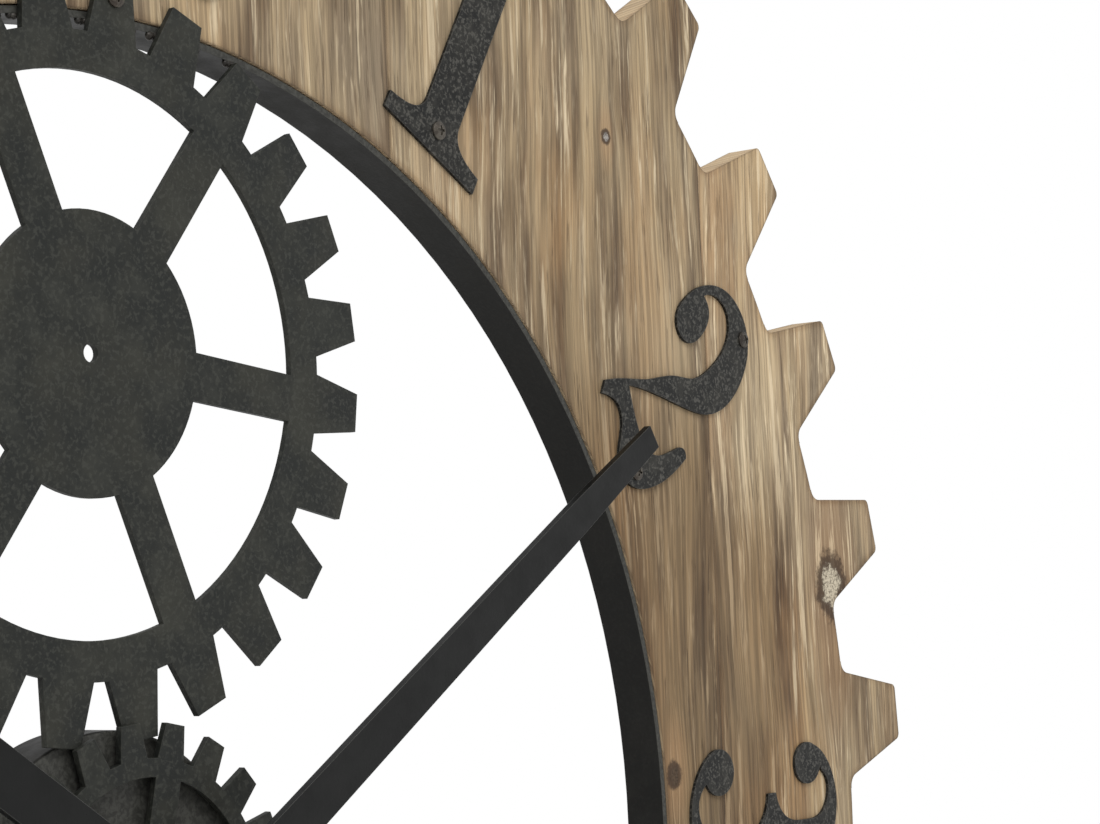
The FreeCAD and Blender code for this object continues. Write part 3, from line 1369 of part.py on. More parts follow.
def around_leg(name, grow, low, high):
    """Make a block about the stator's leg, larger than it by a margin on every side."""
    return block(name, "%s-stator_leg/2-%s" % (LEG_X, grow), "%s+stator_leg/2+%s" % (LEG_X, grow),
                 "%s+%s" % (STATOR_FRONT, grow), "stator_depth-%s" % grow, low, high)


CORE_GROW = "(bobbin_wall+fit_gap)"
FLANGE_GROW = "(winding_radius-stator_leg/2)"
bobbin_pieces = [
    around_leg("bobbin_core", CORE_GROW, BOBBIN_LOW, BOBBIN_HIGH),
    around_leg("bobbin_low_flange", FLANGE_GROW, BOBBIN_LOW, BOBBIN_LOW + "+bobbin_flange"),
    around_leg("bobbin_high_flange", FLANGE_GROW, BOBBIN_HIGH + "-bobbin_flange", BOBBIN_HIGH),
]
bobbin_hole = around_leg("bobbin_hole", "fit_gap", BOBBIN_LOW + "-overrun", BOBBIN_HIGH + "+overrun")
keep(cut("coil_bobbin", fuse("bobbin_join", bobbin_pieces), bobbin_hole), "coil_bobbin")
winding = doc.addObject("Part::Cylinder", "winding_roll")
bind(winding, "Radius", "winding_radius")
bind(winding, "Height", "%s-%s-2*bobbin_flange" % (BOBBIN_HIGH, BOBBIN_LOW))
bind(winding, "Placement.Base.x", LEG_X)
bind(winding, "Placement.Base.y", "-(stator_depth+stator_thickness/2)")
bind(winding, "Placement.Base.z", BOBBIN_LOW + "+bobbin_flange")
winding_hole = around_leg("winding_hole", CORE_GROW, BOBBIN_LOW, BOBBIN_HIGH)
keep(cut("coil_winding", winding, winding_hole), "coil_winding")
BOARD_BACK = "(%s-circuit_thickness)" % CASE_INSIDE
board = block("board_sheet", "circuit_left", INSIDE + "-circuit_margin", CASE_INSIDE, BOARD_BACK, "circuit_low",
              INSIDE + "-circuit_margin")
chip = cylinder("chip", "chip_radius", "chip_height+circuit_thickness/2",
                "(circuit_left+%s-circuit_margin)/2" % INSIDE, BOARD_BACK + "+circuit_thickness/2", "0")
keep(fuse("circuit_board", [board, chip]), "circuit_board")
crystal = doc.addObject("Part::Cylinder", "crystal_can")
bind(crystal, "Radius", "crystal_radius")
bind(crystal, "Height", "crystal_length")
bind(crystal, "Placement.Base.x", "(circuit_left+%s-circuit_margin)/2" % INSIDE)
bind(crystal, "Placement.Base.y", "-(%s-crystal_radius-fit_gap)" % BOARD_BACK)
bind(crystal, "Placement.Base.z", "chip_radius+crystal_radius")
keep(crystal, "quartz_crystal")

# Battery and its contacts


def rod(name, radius, left, right):
    """Make a round bar along the battery's axis."""
    item = doc.addObject("Part::Cylinder", name)
    bind(item, "Radius", radius)
    bind(item, "Height", "(%s)-(%s)" % (right, left))
    item.Placement = FreeCAD.Placement(FreeCAD.Vector(), FreeCAD.Rotation(INTO_WALL, 90))
    bind(item, "Placement.Base.x", left)
    bind(item, "Placement.Base.y", "-" + CELL_DEPTH)
    bind(item, "Placement.Base.z", CELL_Z)
    return item


CELL_END = "((cell_length+cell_nub_length)/2)"
PLATE_INNER = "(%s-contact_thickness)" % INSIDE
cell = rod("cell_can", "cell_radius", "-" + CELL_END, CELL_END + "-cell_nub_length")
nub = rod("cell_nub", "cell_nub_radius", CELL_END + "-2*cell_nub_length", CELL_END)
keep(fuse("battery", [cell, nub]), "battery")
for label, inner, outer in (("positive", PLATE_INNER, INSIDE), ("negative", "-" + INSIDE, "-" + PLATE_INNER)):
    plate = block("%s_contact_plate" % label, inner, outer, CELL_DEPTH + "+contact_width/2",
                  CELL_DEPTH + "-contact_width/2", CELL_Z + "-contact_width/2", CELL_Z + "+contact_width/2")
    strip_front = CASE_INSIDE + "-strip_front_gap"
    strip = block("%s_strip" % label, inner, outer, strip_front, strip_front + "-strip_width", CELL_Z,
                  DIVIDER_TOP + "+strip_height")
    if label == "positive":
        bump = rod("positive_dimple", "contact_dimple_radius", CELL_END, PLATE_INNER + "+contact_thickness/2")
    else:
        bump = doc.addObject("Part::Cone", "negative_spring")
        bind(bump, "Radius1", "spring_radius")
        bind(bump, "Radius2", "contact_dimple_radius")
        bind(bump, "Height", "%s+contact_thickness/2-%s" % (PLATE_INNER, CELL_END))
        bump.Placement = FreeCAD.Placement(FreeCAD.Vector(), FreeCAD.Rotation(INTO_WALL, 90))
        bind(bump, "Placement.Base.x", "-(%s+contact_thickness/2)" % PLATE_INNER)
        bind(bump, "Placement.Base.y", "-" + CELL_DEPTH)
        bind(bump, "Placement.Base.z", CELL_Z)
    keep(fuse("contact_%s" % label, [plate, strip, bump]), "contact_%s" % label)

# Threaded bush, washer and nut that clamp the cup and the centre gear to the case


def threaded_bush():
    """Make the bush: a flange inside the case and a grooved thread in front of it."""
    radius = value("bush_radius")
    front = case_inside + value("bush_length") + value("case_front_wall")
    body = bar(radius, front, case_inside - value("bush_flange/2"))
    body = body.fuse(bar(value("bush_flange_radius"), case_inside, case_inside - value("bush_flange")))
    pitch = value("bush_thread_pitch")
    depth = value("bush_thread_depth")
    level = front - pitch
    while level > value(CENTRE_GEAR_FRONT):
        ridge = [point(radius - depth, level, 0), point(radius + depth, level + pitch / 2, 0),
                 point(radius + depth, level - pitch / 2, 0)]
        groove = Part.Face(Part.makePolygon(ridge + ridge[:1]))
        body = body.cut(groove.revolve(FreeCAD.Vector(), INTO_WALL, 360))
        level -= pitch
    return body.cut(bar(value("bush_bore"), front + overrun, case_inside - overrun))


def hex_nut():
    """Make the nut in front of the centre gear."""
    back = value(CENTRE_GEAR_FRONT)
    front = back + value("nut_thickness")
    reach = value("nut_flat_width/2") / math.cos(math.pi / 6)
    corners = [(reach * heading(angle)[0], reach * heading(angle)[1]) for angle in range(0, 360, 60)]
    bevel = Part.makeCone(value("nut_flat_width/2"), reach + value("nut_thickness"),
                          reach - value("nut_flat_width/2") + value("nut_thickness"), point(0, front, 0),
                          INTO_WALL)
    nut = polygon_plate(corners, front, back).common(bevel.fuse(bar(reach + overrun, back + overlap, back)))
    return nut.cut(bar(value("bush_radius+fit_gap"), front + overrun, back - overrun))


keep(shaped("threaded_bush", threaded_bush()), "threaded_bush")
keep(shaped("hex_nut", hex_nut()), "hex_nut")
washer_disc = cylinder("washer_disc", "washer_radius", "plate_thickness", depth=PLATE_FRONT)
washer_hole = cylinder("washer_hole", "bush_radius+fit_gap", "plate_thickness+2*overrun",
                       depth=PLATE_FRONT + "+overrun")
keep(cut("spacer_washer", washer_disc, washer_hole), "spacer_washer")


# Hands, folded from sheet, each on its own bush

def hand(kind):
    """Build one hand: a tapering channel, open at the back, with a solid boss about its bush."""
    body = new_body("%s_hand_body" % kind)
    root = "%s_hand_root_width/2" % kind
    shoulder = "%s_hand_shoulder_width/2" % kind
    tip = "%s_hand_tip_width/2" % kind
    levels = [("-%s_hand_tail" % kind, root), ("%s_hand_shoulder" % kind, shoulder),
              ("%s_hand_length" % kind, tip)]
    outline = [("-" + half, level) for level, half in levels]
    outline += [(half, level) for level, half in reversed(levels)]
    sketch = front_sketch(body, "%s_hand_sketch" % kind)
    add_polygon(sketch, outline)
    pad(body, sketch, "%s_hand_blade" % kind, "hand_depth")
    levels = [("-%s_hand_tail+hand_sheet" % kind, root + "-hand_sheet"),
              ("%s_hand_shoulder" % kind, shoulder + "-hand_sheet"),
              ("%s_hand_length-hand_sheet" % kind, tip + "-hand_sheet")]
    inner = [("-(%s)" % half, level) for level, half in levels]
    inner += [(half, level) for level, half in reversed(levels)]
    trough = front_sketch(body, "%s_hand_trough" % kind)
    add_polygon(trough, inner)
    pocket(body, trough, "%s_hand_hollow" % kind, "hand_depth-hand_sheet", True)
    boss = front_sketch(body, "%s_hand_boss_sketch" % kind)
    add_circle(boss, "hand_boss_radius")
    pad(body, boss, "%s_hand_boss" % kind, "hand_depth")
    hole = front_sketch(body, "%s_hand_hole_sketch" % kind)
    add_circle(hole, "hand_bush_radius+fit_gap")
    pocket(body, hole, "%s_hand_hole" % kind, "hand_depth", True)
    place(body, depth="%s_hand_front-hand_depth" % kind, turn="%s_hand_angle" % kind)
    keep(body, "%s_hand" % kind)


def hand_bush(kind, bore):
    """Build the bush that a hand is fixed on, with a flange behind the hand."""
    front = "%s_hand_front+hand_bush_lip" % kind
    flange_front = "%s_hand_front-hand_depth" % kind
    barrel = cylinder("%s_barrel" % kind, "hand_bush_radius",
                      "hand_bush_lip+hand_depth+hand_bush_flange", depth=front)
    flange = cylinder("%s_flange" % kind, "hand_bush_radius+hand_bush_flange", "hand_bush_flange",
                      depth=flange_front)
    hole = cylinder("%s_bore" % kind, bore, "hand_bush_lip+hand_depth+hand_bush_flange+2*overrun",
                    depth=front + "+overrun")
    keep(cut("%s_hand_bush" % kind, fuse("%s_bush_join" % kind, [barrel, flange]), hole), "%s_hand_bush" % kind)


for kind, bore in (("hour", "tube_radius+fit_gap"), ("minute", "arbor_radius+fit_gap")):
    hand(kind)
    hand_bush(kind, bore)
CAP_BACK = "(minute_hand_front+hand_bush_lip)"
cap_body = cylinder("cap_body", "cap_radius", "cap_height-cap_bevel", depth=CAP_BACK + "+cap_height-cap_bevel")
cap_top = doc.addObject("Part::Cone", "cap_top")
bind(cap_top, "Radius1", "cap_radius-cap_bevel")
bind(cap_top, "Radius2", "cap_radius")
bind(cap_top, "Height", "cap_bevel")
cap_top.Placement = FreeCAD.Placement(FreeCAD.Vector(), FreeCAD.Rotation(FreeCAD.Vector(1, 0, 0), -90))
bind(cap_top, "Placement.Base.y", "-(%s+cap_height)" % CAP_BACK)
cap_bore = cylinder("cap_bore", "arbor_thread_radius+fit_gap", "arbor_thread_length+fit_gap+overrun",
                    depth=CAP_BACK + "+arbor_thread_length+fit_gap")
keep(cut("hand_cap_nut", fuse("cap_join", [cap_body, cap_top]), cap_bore), "hand_cap_nut")

# Check every object, then write each sub-part
doc.recompute()
faults = [item.Name for item in doc.Objects if "Invalid" in item.State or "Error" in item.State]
faults += [item.Label for item in subparts if item.Shape.isNull() or not item.Shape.isValid()]
faults += [item.Label for item in subparts if not item.Shape.Solids]
if faults:
    raise RuntimeError("unsound pieces: " + ", ".join(faults))
os.makedirs("parts", exist_ok=True)
for item in subparts:
    item.Shape.exportStep("parts/%s.step" % item.Label)
print("sub-parts", len(subparts), "solids", sum(len(item.Shape.Solids) for item in subparts))
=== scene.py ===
"""Looks of the wooden gear clock: finishes for every CAD piece, small trim, studio light and camera."""

import logging
import math
import random
from dataclasses import dataclass, field
from enum import Enum

import bmesh
import bpy
from mathutils import Matrix, Vector


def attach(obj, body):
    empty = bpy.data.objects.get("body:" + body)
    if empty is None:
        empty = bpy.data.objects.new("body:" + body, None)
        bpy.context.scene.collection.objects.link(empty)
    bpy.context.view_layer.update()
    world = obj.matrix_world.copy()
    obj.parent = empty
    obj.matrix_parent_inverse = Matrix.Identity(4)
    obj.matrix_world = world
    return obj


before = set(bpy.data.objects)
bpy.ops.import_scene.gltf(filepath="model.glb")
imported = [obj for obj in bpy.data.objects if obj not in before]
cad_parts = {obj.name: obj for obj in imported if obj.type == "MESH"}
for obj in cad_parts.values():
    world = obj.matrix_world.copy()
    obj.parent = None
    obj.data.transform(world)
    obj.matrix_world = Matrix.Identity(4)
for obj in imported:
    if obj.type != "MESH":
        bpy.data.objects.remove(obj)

LOG = logging.getLogger("clock")
Colour = tuple[float, float, float]
Point = tuple[float, float, float]
Link = bpy.types.NodeSocket | float | tuple
FLOAT = "NodeSocketFloat"
VECTOR = "NodeSocketVector"


class Blend(Enum):
    """How two colours are mixed."""

    MIX = "MIX"
    MULTIPLY = "MULTIPLY"


class Graph:
    """A thin helper that adds and joins shader nodes."""

    def __init__(self, tree: bpy.types.NodeTree) -> None:
        """Keep the tree that the helper fills.

        Args:
            tree: The material's or the group's node tree.
        """
        self.tree = tree

    def add(self, kind: str, settings: dict | None = None, **inputs: Link) -> bpy.types.Node:
        """Add a node, set its options and feed its inputs.

        Args:
            kind: The node's type name.
            settings: Options such as operation or blend_type.
            **inputs: Values or sockets; i0, i1 and so on name inputs by place, others by name.

        Returns:
            The new node.
        """
        node = self.tree.nodes.new(kind)
        for name, setting in (settings or {}).items():
            setattr(node, name, setting)
        for name, entry in inputs.items():
            place = name[1:].isdigit() and name[0] == "i"
            socket = node.inputs[int(name[1:])] if place else node.inputs[name.replace("_", " ")]
            self.feed(socket, entry)
        return node

    def feed(self, socket: bpy.types.NodeSocket, entry: Link) -> None:
        """Give a socket a value or a link.

        Args:
            socket: The socket to fill.
            entry: A number, a tuple or another node's output.
        """
        if isinstance(entry, bpy.types.NodeSocket):
            self.tree.links.new(entry, socket)
        elif isinstance(entry, tuple) and len(entry) == 3 and socket.type == "RGBA":
            socket.default_value = (*entry, 1.0)
        else:
            socket.default_value = entry

    def math(self, operation: str, first: Link, second: Link = 0.0) -> bpy.types.NodeSocket:
        """Add a math node and give its result."""
        return self.add("ShaderNodeMath", {"operation": operation}, i0=first, i1=second).outputs[0]

    def times(self, first: Link, second: Link) -> bpy.types.NodeSocket:
        """Multiply two numbers."""
        return self.math("MULTIPLY", first, second)

    def plus(self, first: Link, second: Link) -> bpy.types.NodeSocket:
        """Add two numbers."""
        return self.math("ADD", first, second)

    def vector(self, operation: str, first: Link, second: Link = (0.0, 0.0, 0.0)) -> bpy.types.Node:
        """Add a vector math node."""
        return self.add("ShaderNodeVectorMath", {"operation": operation}, i0=first, i1=second)

    def scaled(self, vector: Link, factors: tuple) -> bpy.types.NodeSocket:
        """Multiply a vector by three factors."""
        return self.vector("MULTIPLY", vector, factors).outputs[0]

    def shifted(self, vector: Link, offset: Link) -> bpy.types.NodeSocket:
        """Add an offset to a vector."""
        return self.vector("ADD", vector, offset).outputs[0]

    def enlarged(self, vector: Link, factor: Link) -> bpy.types.NodeSocket:
        """Scale a vector evenly."""
        return self.add("ShaderNodeVectorMath", {"operation": "SCALE"}, i0=vector, Scale=factor).outputs[0]

    def split(self, vector: Link) -> bpy.types.bpy_prop_collection:
        """Give a vector's x, y and z sockets."""
        return self.add("ShaderNodeSeparateXYZ", None, i0=vector).outputs

    def joined(self, x: Link, y: Link = 0.0, z: Link = 0.0) -> bpy.types.NodeSocket:
        """Make a vector from x, y and z."""
        return self.add("ShaderNodeCombineXYZ", None, i0=x, i1=y, i2=z).outputs[0]

    def grey(self, level: Link) -> bpy.types.NodeSocket:
        """Turn a level into a grey colour."""
        return self.add("ShaderNodeCombineColor", None, i0=level, i1=level, i2=level).outputs[0]

    def placed(self, group: bpy.types.NodeTree, **inputs: Link) -> bpy.types.bpy_prop_collection:
        """Place a node group and give its outputs."""
        return self.add("ShaderNodeGroup", {"node_tree": group}, **inputs).outputs

    def noise(self, vector: Link, scale: float, detail: float = 4.0,
              rough: float = 0.55) -> bpy.types.NodeSocket:
        """Add a noise texture.

        Args:
            vector: The point to read it at.
            scale: Its waves in a metre.
            detail: Its number of finer layers.
            rough: The finer layers' strength.

        Returns:
            The noise value's socket.
        """
        return self.add("ShaderNodeTexNoise", None, Vector=vector, Scale=scale, Detail=detail,
                        Roughness=rough).outputs[0]

    def bump(self, height: Link, strength: Link, depth: float, normal: Link,
             inward: bool = False) -> bpy.types.NodeSocket:
        """Add a bump on top of a normal.

        Args:
            height: The height mask.
            strength: The bump's strength.
            depth: Its depth in metres.
            normal: The normal below it.
            inward: Whether the mask sinks the surface.

        Returns:
            The new normal's socket.
        """
        return self.add("ShaderNodeBump", {"invert": inward}, Strength=strength, Distance=depth,
                        Height=height, Normal=normal).outputs[0]

    def remap(self, entry: Link, low: float, high: float, new_low: float = 0.0,
              new_high: float = 1.0) -> bpy.types.NodeSocket:
        """Map a range smoothly onto another.

        Args:
            entry: The value to map.
            low: The range's low end.
            high: The range's high end.
            new_low: The result at the low end.
            new_high: The result at the high end.

        Returns:
            The mapped value's socket.
        """
        return self.add("ShaderNodeMapRange", {"interpolation_type": "SMOOTHSTEP"}, i0=entry, i1=low, i2=high,
                        i3=new_low, i4=new_high).outputs[0]

    def mix(self, factor: Link, first: Link, second: Link, blend: Blend = Blend.MIX) -> bpy.types.NodeSocket:
        """Mix two colours.

        Args:
            factor: The second colour's share.
            first: The first colour.
            second: The second colour.
            blend: How the second colour lies on the first.

        Returns:
            The mixed colour's socket.
        """
        node = self.add("ShaderNodeMix", {"data_type": "RGBA", "blend_type": blend.value}, i0=factor)
        self.feed(node.inputs[6], first)
        self.feed(node.inputs[7], second)
        return node.outputs[2]


def new_group(name: str, inputs: list[tuple[str, str]], outputs: list[tuple[str, str]]) -> tuple:
    """Start a node group.

    Args:
        name: The group's name.
        inputs: Names and socket types of its inputs.
        outputs: Names and socket types of its outputs.

    Returns:
        The tree, its graph helper, its input node and its output node.
    """
    tree = bpy.data.node_groups.new(name, "ShaderNodeTree")
    for label, kind in inputs:
        tree.interface.new_socket(label, in_out="INPUT", socket_type=kind)
    for label, kind in outputs:
        tree.interface.new_socket(label, in_out="OUTPUT", socket_type=kind)
    graph = Graph(tree)
    return tree, graph, graph.add("NodeGroupInput"), graph.add("NodeGroupOutput")


def edge_wear_shade_and_highlight_group() -> bpy.types.NodeTree:
    """Make the group that finds edges, used for worn edges, for painted shade along the wood's tooth edges
    and for a painted highlight on the hands' edges.

    Returns:
        A group from a radius to a softened normal and an edge mask.
    """
    tree, graph, entry, leave = new_group(
        "edge wear, shade and highlight", [("Radius", FLOAT)], [("Edge", FLOAT), ("Normal", VECTOR)])
    rounded = graph.add("ShaderNodeBevel", {"samples": 6}, Radius=entry.outputs[0]).outputs[0]
    flat = graph.add("ShaderNodeNewGeometry").outputs["Normal"]
    likeness = graph.vector("DOT_PRODUCT", rounded, flat).outputs["Value"]
    graph.feed(leave.inputs[0], graph.remap(likeness, 0.995, 0.86))
    graph.feed(leave.inputs[1], rounded)
    return tree


def knot_group() -> bpy.types.NodeTree:
    """Make the group that draws one knot.

    Returns:
        A group from a point, a centre, a radius and a height factor to a core mask, a rim mask, a halo mask
        and a sideways push of the grain.
    """
    tree, graph, entry, leave = new_group(
        "knot", [("Point", VECTOR), ("Centre", VECTOR), ("Radius", FLOAT), ("Flatten", FLOAT)],
        [("Core", FLOAT), ("Rim", FLOAT), ("Halo", FLOAT), ("Push", FLOAT)])
    point, centre, radius, flatten = entry.outputs[:4]
    wobble = graph.noise(graph.scaled(point, (1, 0, 1)), 150.0, 5.0, 0.75)
    x, _, z = graph.split(graph.vector("SUBTRACT", point, centre).outputs[0])
    upright = graph.times(z, flatten)
    far = graph.vector("LENGTH", graph.joined(x, 0.0, upright)).outputs["Value"]
    ratio = graph.math("DIVIDE", far, radius)
    ratio = graph.plus(ratio, graph.times(graph.math("SUBTRACT", wobble, 0.5), 2.2))
    graph.feed(leave.inputs[0], graph.remap(ratio, 1.08, 0.86))
    graph.feed(leave.inputs[1], graph.times(graph.remap(ratio, 1.75, 1.20), graph.remap(ratio, 0.70, 0.95)))
    stretched = graph.joined(x, 0.0, graph.times(upright, 0.42))
    reach = graph.math("DIVIDE", graph.vector("LENGTH", stretched).outputs["Value"], radius)
    graph.feed(leave.inputs[2], graph.remap(reach, 3.4, 0.9))
    push = graph.times(graph.remap(reach, 4.5, 0.4), graph.math("SIGN", x))
    graph.feed(leave.inputs[3], graph.times(push, radius))
    return tree


def grain_group() -> bpy.types.NodeTree:
    """Make the group that draws upright, weathered board grain.

    Returns:
        A group from a point and a board's seed to broad bands, reeds, pale flecks, dark pores, warm patches
        and worn patches.
    """
    tree, graph, entry, leave = new_group(
        "upright grain", [("Point", VECTOR), ("Seed", FLOAT)],
        [("Bands", FLOAT), ("Reeds", FLOAT), ("Flecks", FLOAT), ("Pores", FLOAT), ("Warm", FLOAT),
         ("Worn", FLOAT)])
    seed = entry.outputs[1]
    point = graph.shifted(entry.outputs[0], graph.joined(seed, 0.0, graph.times(seed, 0.37)))
    sway = graph.noise(graph.scaled(point, (2.0, 0.0, 1.0)), 2.6, 2.0, 0.5)
    ripple = graph.noise(graph.scaled(point, (1.6, 0.0, 1.0)), 10.0, 2.0, 0.5)
    x, y, z = graph.split(point)
    across = graph.plus(x, graph.times(sway, 0.034))
    across = graph.plus(across, graph.times(ripple, 0.007))
    across = graph.plus(across, graph.times(y, 0.5))
    lay = graph.joined(across, 0.0, z)

    def streaks(length_share: float, scale: float, detail: float, rough: float) -> bpy.types.NodeSocket:
        """Draw noise that is drawn out along the board.

        Args:
            length_share: A streak's width as a share of its length.
            scale: The noise's scale.
            detail: The noise's detail.
            rough: The noise's roughness.

        Returns:
            The noise's socket.
        """
        return graph.noise(graph.scaled(lay, (1.0, 1.0, length_share)), scale, detail, rough)

    bands = graph.plus(graph.times(streaks(0.13, 34.0, 3.0, 0.6), 0.55),
                       graph.times(streaks(0.10, 120.0, 3.0, 0.6), 0.45))
    graph.feed(leave.inputs[0], graph.remap(bands, 0.40, 0.60))
    graph.feed(leave.inputs[1], graph.remap(streaks(0.020, 640.0, 2.0, 0.7), 0.34, 0.66))
    cluster = graph.remap(streaks(0.28, 42.0, 3.0, 0.6), 0.47, 0.62)
    flecks = graph.remap(streaks(0.075, 330.0, 4.0, 0.68), 0.53, 0.66)
    flecks = graph.times(flecks, graph.plus(0.25, cluster))
    ribbons = graph.times(graph.remap(streaks(0.045, 170.0, 5.0, 0.72), 0.55, 0.62), 0.8)
    graph.feed(leave.inputs[2], graph.math("MAXIMUM", flecks, ribbons))
    graph.feed(leave.inputs[3], graph.remap(streaks(0.06, 520.0, 3.0, 0.7), 0.42, 0.32))
    graph.feed(leave.inputs[4], graph.remap(streaks(0.35, 24.0, 3.0, 0.55), 0.48, 0.68))
    worn = graph.noise(graph.scaled(point, (1.0, 0.5, 0.55)), 15.0, 5.0, 0.62)
    graph.feed(leave.inputs[5], graph.remap(worn, 0.34, 0.68))
    return tree


def mottle_group() -> bpy.types.NodeTree:
    """Make the group that mottles sheet metal.

    Returns:
        A group from a point and a scale to soft patches, a second set of patches, fine worm-like specks and a
        beaten height.
    """
    tree, graph, entry, leave = new_group(
        "mottle", [("Point", VECTOR), ("Scale", FLOAT)],
        [("Patches", FLOAT), ("Stains", FLOAT), ("Specks", FLOAT), ("Height", FLOAT)])
    point = graph.enlarged(entry.outputs[0], entry.outputs[1])
    graph.feed(leave.inputs[0], graph.noise(point, 85.0, 6.0, 0.68))
    graph.feed(leave.inputs[1], graph.noise(graph.shifted(point, (3.1, 0.7, 1.9)), 38.0, 5.0, 0.6))
    bent = graph.add("ShaderNodeTexNoise", None, Vector=point, Scale=300.0, Detail=2.0).outputs["Color"]
    worms = graph.shifted(point, graph.enlarged(bent, 0.0022))
    graph.feed(leave.inputs[2], graph.noise(worms, 720.0, 3.0, 0.62))
    cells = graph.add("ShaderNodeTexVoronoi", {"feature": "SMOOTH_F1"}, Vector=worms, Scale=380.0)
    graph.feed(leave.inputs[3], cells.outputs["Distance"])
    return tree


@dataclass(frozen=True)
class Knot:
    """One knot of a board, in metres of the clock's frame."""

    x: float
    z: float
    radius: float
    flatten: float = 0.8
    core: Colour = (0.060, 0.040, 0.026)


@dataclass(frozen=True)
class Shade:
    """A browner lower part of a board, left of an x and below a z."""

    x: float
    z: float
    tint: Colour = (0.62, 0.56, 0.50)
    soft: float = 0.028


@dataclass
class Groups:
    """The shared node groups."""

    edge: bpy.types.NodeTree = field(default_factory=edge_wear_shade_and_highlight_group)
    knot: bpy.types.NodeTree = field(default_factory=knot_group)
    grain: bpy.types.NodeTree = field(default_factory=grain_group)
    mottle: bpy.types.NodeTree = field(default_factory=mottle_group)


def start_material(name: str) -> tuple[bpy.types.Material, Graph, bpy.types.Node]:
    """Start a material with a principled shader.

    Args:
        name: The material's name.

    Returns:
        The material, its graph helper and its shader node.
    """
    material = bpy.data.materials.new(name)
    material.use_nodes = True
    material.node_tree.nodes.clear()
    graph = Graph(material.node_tree)
    shader = graph.add("ShaderNodeBsdfPrincipled")
    output = graph.add("ShaderNodeOutputMaterial")
    graph.feed(output.inputs[0], shader.outputs[0])
    return material, graph, shader


